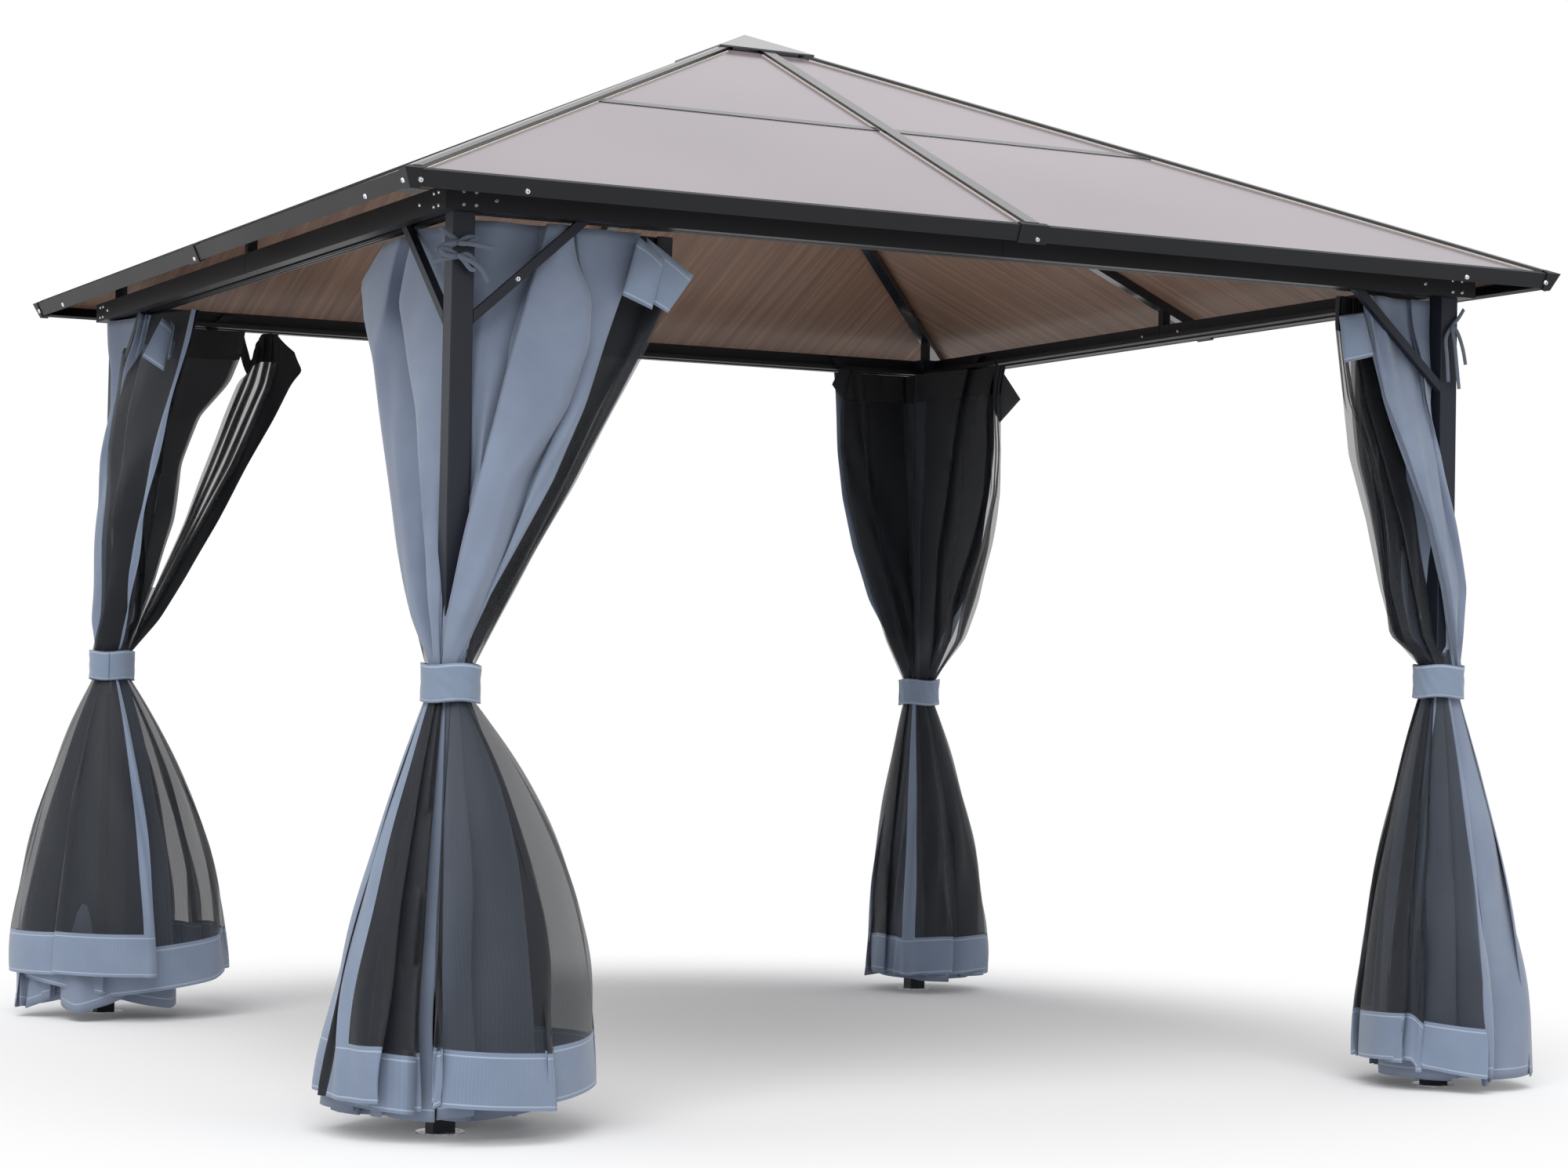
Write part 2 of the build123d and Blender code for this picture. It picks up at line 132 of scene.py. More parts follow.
def brightZinc(name, dark, light, roughness):
    # Zinc-plated steel: bright silver with a faint cloudy spangle
    spangle = 0.008
    material, tree, shader = newMaterial(name, {"Metallic": 0.9, "Roughness": roughness})
    place = addNode(tree, "ShaderNodeTexCoord").outputs["Object"]
    clouds = {"Scale": 1 / spangle, "Detail": 2.0}
    cloud = addNode(tree, "ShaderNodeTexNoise", clouds, {"Vector": place})
    shades = {"stops": ((0.35, dark), (0.65, light))}
    color = addNode(tree, "ShaderNodeValToRGB", shades, {"Fac": cloud.outputs[0]})
    joinLinks(tree, shader, {"Base Color": color.outputs[0]})
    return material


def bronzePanel(acrossAxis):
    # Bronze twin-wall polycarbonate: extruded ribs run down the slope and show as fine streaks
    # below; the top skin is smooth and mirrors the sky at a low angle. The top face is also painted a paler
    # mauve-grey than the bronze below: a painted reflection of the sky
    grain = {"rib": 0.010, "ribShade": 0.12, "streak": 0.016, "streakLength": 0.9, "cloud": 0.7}
    below = ((0.30, "#634a3b"), (0.52, "#775a48"), (0.72, "#8b6c57"))
    # Colours of the top face: a painted reflection of the sky, paler than the sheet's own bronze
    above = ((0.3, "#857a80"), (0.7, "#8f838a"))
    material, tree, shader = newMaterial(f"bronze polycarbonate {acrossAxis}", {"IOR": 1.585})
    place = addNode(tree, "ShaderNodeTexCoord").outputs["Object"]
    across, downSlope = 1 / grain["streak"], 1 / grain["streakLength"]
    stretch = (across, downSlope, downSlope) if acrossAxis == "X" else (downSlope, across, downSlope)
    drawn = addNode(tree, "ShaderNodeMapping", {"Scale": stretch}, {"Vector": place}).outputs[0]
    streaks = {"Scale": 1.0, "Detail": 3.0, "Roughness": 0.65}
    streak = addNode(tree, "ShaderNodeTexNoise", streaks, {"Vector": drawn}).outputs[0]
    bands = {"wave_type": "BANDS", "bands_direction": acrossAxis, "Scale": waveScale(grain["rib"])}
    ribs = addNode(tree, "ShaderNodeTexWave", bands, {"Vector": place}).outputs[0]
    clouds = {"Scale": 1 / grain["cloud"], "Detail": 1.0}
    cloud = addNode(tree, "ShaderNodeTexNoise", clouds, {"Vector": place}).outputs[0]
    streaked = addNode(tree, "ShaderNodeValToRGB", {"stops": below}, {"Fac": streak}).outputs[0]
    shade = {"data_type": "RGBA", "blend_type": "MULTIPLY", 0: grain["ribShade"]}
    ribbed = addNode(tree, "ShaderNodeMix", shade, {6: streaked, 7: ribs}).outputs[2]
    # The top face's painted sky reflection
    skyPaintedTop = addNode(tree, "ShaderNodeValToRGB", {"stops": above}, {"Fac": cloud}).outputs[0]
    normal = addNode(tree, "ShaderNodeNewGeometry").outputs["Normal"]
    height = addNode(tree, "ShaderNodeSeparateXYZ", links={0: normal}).outputs[2]
    upward = addNode(tree, "ShaderNodeMath", {"operation": "GREATER_THAN", 1: 0.0}, {0: height}).outputs[0]
    # Upward faces take the painted sky reflection; the rest keep the bronze with its streaks and ribs
    color = addNode(tree, "ShaderNodeMix", {"data_type": "RGBA"}, {0: upward, 6: ribbed, 7: skyPaintedTop})
    rough = addNode(tree, "ShaderNodeMapRange", {"To Min": 0.62, "To Max": 0.14}, {"Value": upward})
    bump = addNode(tree, "ShaderNodeBump", {"Strength": 0.05, "Distance": 0.002}, {"Height": ribs})
    joinLinks(tree, shader, {
        "Base Color": color.outputs[2], "Roughness": rough.outputs[0], "Normal": bump.outputs[0],
    })
    return material


def wovenPolyester(name, dark, light, stitchLines):
    # Plain-woven polyester: matt blue-grey with a soft sheen. The thread is drawn at 2.4 mm,
    # about four times too coarse, because the real one is too fine to show.
    grain = {"thread": 0.0024, "cloud": 0.25, "seam": "#9ca8ba", "seamHalf": 0.0016}
    material, tree, shader = newMaterial(name, {
        "Roughness": 0.78, "Sheen Weight": 0.25, "Sheen Roughness": 0.5, "Specular IOR Level": 0.3,
    })
    cut = addNode(tree, "ShaderNodeUVMap", {"uv_map": "cut"}).outputs[0]
    place = addNode(tree, "ShaderNodeTexCoord").outputs["Object"]
    clouds = {"Scale": 1 / grain["cloud"], "Detail": 4.0, "Roughness": 0.6}
    cloud = addNode(tree, "ShaderNodeTexNoise", clouds, {"Vector": place}).outputs[0]
    shades = {"stops": ((0.3, dark), (0.7, light))}
    color = addNode(tree, "ShaderNodeValToRGB", shades, {"Fac": cloud}).outputs[0]
    weave = crossedThreads(tree, cut, grain["thread"], "MULTIPLY", {"Distortion": 0.6, "Detail": 1.0})
    tint = addNode(tree, "ShaderNodeMapRange", {"To Min": 0.91, "To Max": 1.04}, {"Value": weave}).outputs[0]
    tinted = {0: color, "Scale": tint}
    surface = addNode(tree, "ShaderNodeVectorMath", {"operation": "SCALE"}, tinted).outputs[0]
    # Sewn hem: a pale seam line so far from the lower edge
    fromHem = addNode(tree, "ShaderNodeSeparateXYZ", links={0: cut}).outputs[1]
    for line in stitchLines:
        near = {"operation": "COMPARE", 1: line, 2: grain["seamHalf"]}
        sewn = addNode(tree, "ShaderNodeMath", near, {0: fromHem}).outputs[0]
        thread = {"data_type": "RGBA", 7: hexColor(grain["seam"])}
        surface = addNode(tree, "ShaderNodeMix", thread, {0: sewn, 6: surface}).outputs[2]
    bump = addNode(tree, "ShaderNodeBump", {"Strength": 0.18, "Distance": 0.0008}, {"Height": weave})
    joinLinks(tree, shader, {"Base Color": surface, "Normal": bump.outputs[0]})
    return material


def sheerMesh():
    # Knitted polyester net: black yarn with open holes, so one layer veils what is behind it and
    # two or three are nearly black. The holes are drawn at 3 mm, coarser than the real 2 mm.
    hole = 0.003
    yarn = {"Base Color": hexColor("#121923"), "Roughness": 0.6, "Sheen Weight": 0.15}
    material, tree, shader = newMaterial("sheer black net", yarn)
    cut = addNode(tree, "ShaderNodeUVMap", {"uv_map": "cut"}).outputs[0]
    knit = crossedThreads(tree, cut, hole, "MAXIMUM", {})
    veil = addNode(tree, "ShaderNodeMapRange", {"To Min": 0.56, "To Max": 0.65}, {"Value": knit})
    joinLinks(tree, shader, {"Alpha": veil.outputs[0]})
    return material


def plainFinish(name, color, roughness):
    # Moulded tape, woven webbing or a shadowed hollow: one colour, a little uneven in its gloss
    grain = {"cloud": 0.03, "uneven": 0.08}
    material, tree, shader = newMaterial(name, {"Base Color": hexColor(color)})
    place = addNode(tree, "ShaderNodeTexCoord").outputs["Object"]
    clouds = {"Scale": 1 / grain["cloud"], "Detail": 2.0}
    cloud = addNode(tree, "ShaderNodeTexNoise", clouds, {"Vector": place}).outputs[0]
    gloss = {"To Min": roughness - grain["uneven"], "To Max": roughness + grain["uneven"]}
    rough = addNode(tree, "ShaderNodeMapRange", gloss, {"Value": cloud})
    joinLinks(tree, shader, {"Roughness": rough.outputs[0]})
    return material


finishes = {
    "coat": powderCoat("powder coated aluminium", "#0c0d12", "#101217", 0.49, 0.0),
    "postCoat": powderCoat("powder coated posts", "#151923", "#1b202b", 0.49, 0.0),
    "barCoat": powderCoat("smooth powder coated bars", "#12141b", "#171a22", 0.22, 0.42),
    "capCoat": powderCoat("glossy powder coated cap", "#12141b", "#171a22", 0.18, 1.0),
    "plate": brightZinc("zinc plated steel", "#b6bac0", "#dcdfe3", 0.30),
    "bolt": brightZinc("bright zinc bolts", "#d8dade", "#f4f5f6", 0.26),
    "socket": plainFinish("shadowed socket", "#4a4c52", 0.6),
    "panelX": bronzePanel("X"),
    "panelY": bronzePanel("Y"),
    "curtain": wovenPolyester("woven polyester curtain", "#747f93", "#838fa3", (0.024,)),
    "band": wovenPolyester("woven polyester band", "#76849a", "#8391a6", (0.008, 0.106)),
    "strap": wovenPolyester("woven polyester strap", "#7a889d", "#8594a9", (0.005, 0.075)),
    "ribbon": wovenPolyester("woven polyester ribbon", "#525b68", "#616b79", ()),
    "net": sheerMesh(),
    "gasket": plainFinish("cream panel tape", "#e9e2cf", 0.55),
    "webbing": plainFinish("black webbing", "#14171d", 0.75),
}
print("materials made:", len(finishes))


def dressFrame():
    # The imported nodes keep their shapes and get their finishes
    for name, node in nodes.items():
        if "panels" in name:
            finish = "panelX" if name.endswith(("front", "back")) else "panelY"
        elif name == "base_plates":
            finish = "plate"
        elif name == "apex_cap":
            finish = "capCoat"
        elif "roof_bar" in name or name == "panel_joint_strips":
            finish = "barCoat"
        elif name.startswith(("post", "knee")):
            finish = "postCoat"
        else:
            finish = "coat"
        node.data.materials.clear()
        node.data.materials.append(finishes[finish])


dressFrame()
print("frame dressed")


def newObject(name, data):
    holder = bpy.data.objects.new(name, data)
    bpy.context.scene.collection.objects.link(holder)
    return holder


def newPiece(name, mesh):
    # An object that stays at the origin, riding on the frame
    piece = newObject(name, mesh)
    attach(piece, "root")
    return piece


def finishPiece(name, verts, faces, materials, faceMaterials=None, uv=None, smooth=True):
    mesh = bpy.data.meshes.new(name)
    mesh.from_pydata([tuple(vert) for vert in verts], [], [tuple(int(i) for i in face) for face in faces])
    for material in materials:
        mesh.materials.append(material)
    if faceMaterials is not None:
        mesh.polygons.foreach_set("material_index", np.asarray(faceMaterials, np.int32))
    if uv is not None:
        layer = mesh.uv_layers.new(name="cut")
        loopVerts = np.zeros(len(mesh.loops), np.int32)
        mesh.loops.foreach_get("vertex_index", loopVerts)
        layer.data.foreach_set("uv", np.asarray(uv, np.float32)[loopVerts].ravel())
    mesh.polygons.foreach_set("use_smooth", [smooth] * len(mesh.polygons))
    mesh.update()
    return newPiece(name, mesh)


def thicken(piece, label, thickness):
    # Cloth of a real thickness, half to each side of its sheet
    solid = piece.modifiers.new(label, "SOLIDIFY")
    solid.thickness = thickness
    solid.offset = 0.0


def turned(points, turn):
    # Points about the gazebo's middle, turned to another side or corner
    angle = math.radians(turn)
    cosine, sine = math.cos(angle), math.sin(angle)
    points = np.asarray(points, float)
    x, y = points[..., 0], points[..., 1]
    return np.stack((cosine * x - sine * y, sine * x + cosine * y, points[..., 2]), axis=-1)


def fromCorner(points, turn):
    # Points measured from a corner post's axis along its two beams, as places in the frame
    axis = np.array((plan["postAxis"], plan["postAxis"], 0.0))
    return turned(np.asarray(points, float) - axis, turn)


def ringPoints(degrees, radius):
    angle = np.radians(degrees)
    return np.stack((radius * np.cos(angle), radius * np.sin(angle)), -1)


def gridFaces(rows, columns):
    first = (np.arange(rows - 1)[:, None] * columns + np.arange(columns - 1)[None, :]).ravel()
    return np.stack((first, first + columns, first + columns + 1, first + 1), axis=-1)


def gridCut(across, up):
    # Where each grid point lies in the flat cloth
    return np.stack(np.broadcast_arrays(across, up), -1).reshape(-1, 2)


def smoothStep(share):
    share = np.clip(share, 0, 1)
    return share * share * (3 - 2 * share)


def roundOff(table):
    # Each row but the ends moves half way to its neighbours
    table[1:-1] = (table[:-2] + 2 * table[1:-1] + table[2:]) / 4


ripples = {
    # seed step, waves across, waves down, number of waves, strength
    "above": (19, 26, 4.0, 5, 0.0035),
    "skirt": (43, 22, 2.4, 5, 0.005),
    "swing": (47, 9, 2.2, 4, 1.6),
    "hem": (31, 5, 0.0, 3, 0.008),
    "strap": (78, 13, 1.5, 4, 0.0010),
}


def ripple(kind, seed, across, down):
    # Smooth unevenness: a few slow waves with seeded directions and starts
    step, acrossScale, downScale, waves, strength = ripples[kind]
    rng = np.random.default_rng(seed + step)
    x, y = across * acrossScale, down * downScale
    total = np.zeros(np.broadcast(x, y).shape)
    for _ in range(waves):
        xWave, yWave, start = rng.uniform(2, 9), rng.uniform(1.5, 7), rng.uniform(0, 2 * math.pi)
        total = total + np.sin(xWave * x + yWave * y + start)
    return strength * total / math.sqrt(waves)


# How the cloth hangs at each corner. Stand is the distance of the cloth from the post's axis, for
# the part along one beam and the part across, at eight heights from the track to the tie-back. Hide
# is +1 where hidden folds lie inside the face and -1 where they lie outside it. Belly is how early
# the skirt widens, by the angle round the post. The rest goes by the number of the fold line: bands
# with their part and finish, slits with their top and bottom, drops of the heading, lifts of the hem.
corners = {
    "front_left": {
        "turn": 0, "seed": 11, "tie": 0.943,
        "belly": ((-120, 2.2), (-60, 2.6), (45, 2.2), (160, 1.4), (232, 1.6)),
        "curtain": {
            "hem": 0.205, "shift": (-0.015, 0.035), "low": 0.05, "hide": (1, 1),
            "stand": (
                (0.02, 0.02, 0.016, 0.002, -0.014, -0.03, -0.038, -0.044),
                (0.02, 0.02, 0.016, 0.006, -0.006, -0.018, -0.028, -0.036),
            ),
        },
        "net": {
            "hem": 0.285, "shift": (0.045, 0.015), "low": 0.09, "hide": (1, 1),
            "bands": ((12, "below", 1), (13, "below", 2), (14, "below", 1)),
            "tuck": (0.005, 0.0014, 0.002), "lifts": {8: -0.025, 9: -0.02, 4: -0.01},
            "stand": (
                (0.045, 0.05, 0.054, 0.052, 0.046, 0.036, 0.018, -0.004),
                (0.045, 0.052, 0.056, 0.056, 0.05, 0.04, 0.022, 0.0),
            ),
        },
    },
    "front_right": {
        "turn": 90, "seed": 23, "tie": 0.99,
        "belly": ((-100, 1.6), (50, 1.7), (165, 1.6), (232, 1.4)),
        "curtain": {
            "hem": 0.215, "shift": (0.01, -0.03), "low": 0.03, "hide": (1, 1),
            "fullness": 3, "neck": 0.05, "tuck": (0.003, 0.0012, 0.004),
            "stand": (
                (0.02, 0.024, 0.026, 0.026, 0.026, 0.026, 0.028, 0.03),
                (0.02, 0.02, 0.012, -0.012, -0.04, -0.048, -0.052, -0.05),
            ),
        },
        "net": {
            "hem": 0.222, "shift": (0.015, -0.04), "low": 0.062, "hide": (1, 1), "bands": (),
            "fullness": 3, "neck": 0.05,
            "tuck": (0.005, 0.0014, 0.0012), "lifts": {4: 0.015, 5: -0.01, 6: -0.02},
            "stand": (
                (0.045, 0.052, 0.056, 0.056, 0.052, 0.046, 0.04, 0.036),
                (0.045, 0.052, 0.055, 0.05, 0.036, 0.014, -0.012, -0.032),
            ),
        },
    },
    "back_right": {
        "turn": 180, "seed": 37, "tie": 0.935, "belly": ((-180, 1.7), (180, 1.7)),
        "curtain": {
            "hem": 0.18, "shift": (-0.04, 0.0), "low": 0.045, "hide": (-1, -1),
            "stand": ((0.004, 0.008, 0.012, 0.012, 0.01, 0.006, 0.004, 0.01),) * 2,
        },
        "net": {
            "hem": 0.203, "shift": (-0.048, 0.0), "low": 0.058, "hide": (-1, -1), "bands": ((4, "below", 1),),
            "stand": ((0.03, 0.046, 0.056, 0.06, 0.06, 0.056, 0.05, 0.046),) * 2,
        },
    },
    "back_left": {
        "turn": 270, "seed": 53, "tie": 0.97, "belly": ((-180, 1.9), (180, 1.9)),
        "curtain": {
            "hem": 0.205, "shift": (0.05, -0.03), "low": 0.028, "hide": (1, -1),
            "lifts": {2: 0.03, 4: 0.035, 6: 0.025},
            "stand": (
                (-0.034, -0.036, -0.038, -0.042, -0.045, -0.046, -0.044, -0.04),
                (0.012, 0.02, 0.024, 0.026, 0.028, 0.03, 0.032, 0.034),
            ),
        },
        "net": {
            "hem": 0.297, "shift": (0.03, 0.03), "low": 0.125, "hide": (1, -1), "slits": ((8, 1.87, 1.2),),
            "bands": ((1, "below", 1), (1, "above", 1), (13, "above", 2)),
            "drops": {8: 0.085, 9: 0.03, 13: 0.05}, "lifts": {4: -0.05, 5: -0.015},
            "stand": (
                (0.004, -0.01, -0.026, -0.04, -0.05, -0.054, -0.052, -0.048),
                (0.03, 0.04, 0.05, 0.056, 0.056, 0.052, 0.047, 0.043),
            ),
        },
    },
}

# The fold lines of each sheet, in mm and degrees, from its end along one beam to its end across.
# Each has its distance from the post at the eight heights, or one for all, how far it lies behind
# the stand, its angle round the post above and below the tie-back, how far it stands out at the hem,
# and the share of the face before it that is tucked in behind it, or two, above and below.
folds = {
    ("front_left", "curtain", "along"): (
        ((431, 411, 381, 342, 291, 216, 125, 53), 4, -85, -107, 0, 0),
        ((263, 274, 303, 296, 249, 170, 106, 48), 6, -91, -86, 20, 0.8),
        ((292, 304, 336, 324, 276, 197, 132, 75), 46, -85, -82, -30, 0),
        ((245, 256, 294, 289, 227, 107, 65, 25), -26, -98, -58, 20, 0),
        ((198, 179, 149, 114, 75, 33, -7, -32), -18, -136, -34, 20, 0.85),
        ((265, 245, 216, 185, 149, 101, 47, 17), 40, -113, -28, -30, 0),
        ((131, 122, 103, 83, 68, 54, 40, 31), 12, -60, -4, 20, 0),
        (36, 30, -20, 16, -20, 0.8),
    ),
    ("front_left", "curtain", "corner"): ((36, 0, 45, 45, 20, 0),),
    ("front_left", "curtain", "across"): (
        ((152, 146, 137, 118, 97, 61, 21, -17), 6, 222, 76, -20, 0),
        ((284, 338, 374, 291, 187, 104, 44, -9), -20, 200, 108, 20, 0.85),
        ((382, 445, 465, 383, 282, 201, 141, 88), 40, 207, 114, -30, 0),
        ((390, 436, 460, 486, 373, 257, 168, 94), -10, 166, 158, 20, 0),
        ((543, 713, 664, 554, 466, 363, 260, 184), 6, 166, 196, -20, 0.8),
        ((453, 563, 539, 454, 386, 303, 220, 164), 30, 180, 226, 12, 0.6),
        ((413, 503, 479, 394, 326, 263, 200, 154), 36, 195, 251, -4, 0),
    ),
    ("front_left", "net", "along"): (
        ((518, 517, 509, 462, 382, 293, 192, 117), 0, -34, -121, 4, 0),
        ((477, 476, 468, 425, 351, 270, 177, 108), 0, -44, -120.6, 4, (1, 0.8)),
        ((398, 380, 353, 318, 272, 199, 104, 27), 6, -70, -120.3, 4, (1.25, 0.8)),
        ((239, 228, 212, 191, 163, 119, 62, 16), 12, -54, -120, 4, (0.9, 0.8)),
        ((119, 114, 106, 95, 82, 60, 31, 8), 14, -30, -68, 3, (0.9, 0.12)),
        ((80, 78, 76, 74, 71, 67, 63, 60), 16, 0, -16, 4, (0.4, 0.05)),
    ),
    ("front_left", "net", "corner"): (((75, 73, 72, 69, 66, 62, 59, 56), 0, 45, 45, 0, 0.4),),
    ("front_left", "net", "across"): (
        ((150, 158, 168, 180, 152, 120, 86, 60), 12, 100, 112, 0, 0.7),
        ((359, 450, 447, 388, 326, 254, 182, 129), 8, 130, 233, -26, (0.8, 0.3)),
        ((380, 476, 473, 410, 345, 269, 192, 136), 18, 136, 204, -24, 0),
        ((410, 514, 511, 443, 373, 290, 208, 147), 2, 142, 217, 4, 0),
        ((441, 553, 550, 476, 401, 312, 234, 188), 0, 152, 195, 8, 0),
        ((462, 579, 575, 499, 419, 327, 254, 206), 0, 160, 181, 12, 0),
        ((464, 582, 578, 501, 422, 329, 255, 207), 0, 162, 180.6, 12, 0),
        ((472, 592, 588, 510, 429, 334, 259, 209), 0, 164, 158, 8, 0),
    ),
    ("back_left", "curtain", "along"): (
        ((340, 321, 300, 267, 220, 165, 110, 70), 60, -40, -107, 0, 0),
        ((220, 211, 200, 179, 150, 115, 80, 60), 30, -55, -85, 30, (0.8, 0.3)),
        ((307, 261, 164, 131, 103, 74, 50, 41), -4, -75, -60, -30, 0.8),
        ((18, 44, 87, 95, 19, -19, -39, -45), -10, -100, -30, 30, 0),
        ((40, 40, 39, 39, 38, 37, 37, 36), 55, -30, 10, -30, 0.8),
    ),
    ("back_left", "curtain", "corner"): ((36, 0, 45, 45, 20, 0),),
    ("back_left", "curtain", "across"): (
        ((120, 116, 112, 107, 100, 82, 64, 50), 0, 90, 100, -30, 0.85),
        ((170, 161, 151, 138, 120, 98, 76, 60), 10, 120, 160, 30, 0.85),
        ((100, 98, 96, 94, 90, 75, 61, 50), 20, 130, 205, -30, 0.8),
        ((60, 58, 56, 54, 51, 47, 43, 40), 28, 140, 251, 0, 0),
    ),
    ("back_left", "net", "along"): (
        ((500, 500, 480, 440, 360, 260, 170, 110), 62, 12, 3, 10, 0),
        ((496, 495, 472, 425, 336, 234, 154, 106), 56, 4, -3, 12, 0),
        ((280, 271, 260, 239, 210, 170, 120, 80), -4, -50, -52, 0, (1.1, 0.1)),
        ((100, 109, 120, 116, 110, 100, 90, 70), -12, -95, -104, 0, (0.9, 0.12)),
        ((70, 69, 67, 65, 62, 59, 56, 54), 80, -30, -22, -30, (0.8, 0.1)),
    ),
    ("back_left", "net", "corner"): (((65, 64, 63, 61, 59, 56, 54, 52), 0, 20, 42, 0, 0),),
    ("back_left", "net", "across"): (
        ((202, 195, 175, 125, 97, 87, 61, 36), 4, 30, 62, 0, (1.2, 0.1)),
        ((367, 354, 318, 228, 176, 158, 111, 66), 0, 44, 84, 8, (1.2, 0.3)),
        ((371, 358, 330, 288, 239, 183, 117, 67), 0, 52, 100, 0, 0),
        ((392, 381, 356, 314, 262, 198, 126, 72), 4, 56, 120, 0, 0.5),
        ((413, 404, 383, 340, 284, 212, 135, 77), 0, 60, 140, 0, 0.6),
        ((434, 428, 409, 366, 306, 226, 143, 82), 4, 62, 165, 0, 0.5),
        ((455, 451, 435, 392, 329, 241, 152, 87), 0, 66, 190, 0, 0.6),
        ((501, 526, 486, 434, 359, 278, 191, 119), 0, 74, 222, 0, 0),
    ),
    ("back_right", "curtain", "along"): (
        ((330, 325, 321, 315, 295, 250, 185, 110), 0, -70, -107, 4, 0),
        ((205, 202, 199, 195, 183, 155, 115, 68), -12, -20, -62, -30, 0.85),
        ((99, 98, 96, 95, 88, 75, 56, 33), 4, 10, -10, 20, 0.8),
    ),
    ("back_right", "curtain", "corner"): ((36, 0, 45, 45, -30, 0),),
    ("back_right", "curtain", "across"): (
        ((110, 110, 113, 113, 107, 95, 70, 37), 4, 80, 85, 20, 0.8),
        ((242, 242, 248, 248, 237, 209, 154, 83), -12, 110, 130, -30, 0.85),
        ((352, 352, 360, 360, 344, 304, 224, 120), 0, 135, 190, 20, 0.85),
        ((440, 440, 450, 450, 430, 380, 280, 150), 0, 150, 251, 4, 0),
    ),
    ("back_right", "net", "along"): (
        ((307, 319, 330, 332, 304, 257, 199, 153), 0, -26, -100, 0, 0),
        ((241, 246, 250, 242, 222, 177, 128, 92), 10, 30, -40, 0, 0.85),
        ((72, 77, 82, 81, 72, 57, 43, 36), -10, 49, 20, -10, 0.85),
    ),
    ("back_right", "net", "corner"): (
        ((70, 69, 67, 65, 62, 59, 56, 54), 0, 45, 38, 6, 0),
        ((85, 83, 80, 76, 71, 66, 60, 56), 0, 52, 49, 6, 0),
    ),
    ("back_right", "net", "across"): (
        ((363, 358, 347, 333, 290, 239, 207, 194), 12, 92, 85, -6, 0.85),
        ((497, 497, 505, 516, 498, 422, 314, 270), 4, 123, 130, 0, 0.85),
        ((503, 515, 534, 550, 544, 497, 415, 326), 0, 139, 210, 0, (1, 0.1)),
    ),
    ("front_right", "curtain", "along"): (
        ((200, 191, 181, 168, 150, 115, 80, 50), 0, -60, -140, 0, 0),
        ((140, 135, 128, 121, 110, 90, 70, 50), 2, -30, -90, -10, 0.95),
        ((70, 68, 66, 64, 60, 55, 49, 45), 12, 0, -30, -40, 0.95),
    ),
    ("front_right", "curtain", "corner"): ((36, 0, 45, 40, -30, 0.6),),
    ("front_right", "curtain", "across"): (
        ((-16, -14, -1, 32, 60, 23, -8, -3), 22, 215, 110, -56, 0),
        ((97, 89, 67, 68, 34, -3, -34, -29), -10, 238, 158, -46, (0.6, 0.9)),
        ((206, 182, 161, 141, 103, 62, 18, 2), -20, 222, 172, 12, 0),
        ((233, 218, 204, 191, 146, 77, 30, 3), -10, 200, 178, -16, (0.85, 0.5)),
        ((183, 168, 154, 151, 106, 47, 10, -7), 26, 190, 232, 10, 0),
    ),
    ("front_right", "net", "along"): (
        ((320, 311, 301, 288, 270, 215, 160, 100), 0, -60, -100, 0, 0),
        ((180, 176, 172, 167, 160, 135, 110, 80), 8, -20, -30, 0, (0.6, 0.85)),
    ),
    ("front_right", "net", "corner"): (((75, 73, 72, 69, 66, 62, 59, 56), 0, 40, 45, 0, 0.6),),
    ("front_right", "net", "across"): (
        ((166, 146, 124, 100, 51, 5, -10, -14), 8, 192, 60, 0, (0.45, 0.9)),
        ((232, 230, 218, 203, 161, 116, 100, 81), -4, 129, 120, 10, (1.1, 0.3)),
        ((275, 270, 251, 236, 175, 162, 164, 141), 0, 52, 128, -6, (1, 0.3)),
        ((278, 277, 266, 259, 252, 209, 191, 163), 6, 52, 168, 12, 0),
    ),
}

drape = {
    "upperRows": 64, "tieRows": 6, "lowerRows": 46, "hemRows": 6, "faceColumns": 10, "tuckColumns": 6,
    "flatWidth": 2.6, "flatHeight": 1.88, "top": 1.930, "tieHeight": 0.080,
    "hemBand": 0.115, "headerBand": 0.075, "thick": 0.0012,
    "heights": (1.93, 1.86, 1.78, 1.68, 1.54, 1.38, 1.22, 1.10),
    "rowCrowd": 0.95,  # the rows crowd a little towards the tie-back
    "cornerWay": 0.7,  # hidden folds at the corner lie this far along each beam
    "tuckReturn": 0.05,  # share of the face where a hidden fold turns back
    "deepest": 0.012,  # most that a hidden fold sinks inside the tie-back
    "behindMost": 0.03, "behindShare": 0.25, "outShare": 0.15,  # what the tie-back leaves of a fold line
    "foldAtTie": 0.25,  # share of a fold's depth just below the tie-back
    "dropFade": 6,  # a heading that hangs down is level again after a sixth of the rows
}
layers = {
    # neck: radius inside the tie-back; puff: how far a face swells; tuck: how far behind the face
    # the hidden folds lie, at the track, the tie-back and the hem; fullness: hidden folds per tuck
    "curtain": {"neck": 0.0435, "puff": 0.007, "tuck": (0.009, 0.0016, 0.007), "fullness": 2, "seedStep": 0},
    "net": {"neck": 0.0535, "puff": 0.006, "tuck": (0.005, 0.0014, 0.004), "fullness": 2, "seedStep": 1000},
}


def foldLines(place, kind):
    # One sheet's fold lines, with their lengths in metres
    lines = []
    for side in ("along", "corner", "across"):
        for reach, behind, above, below, out, tuck in folds[place, kind, side]:
            reaches = np.broadcast_to(reach, len(drape["heights"])) / 1000
            lines.append({
                "side": side, "reach": reaches, "behind": behind / 1000, "above": above,
                "below": below, "out": out / 1000, "tuck": np.broadcast_to(tuck, 2),
            })
    return lines


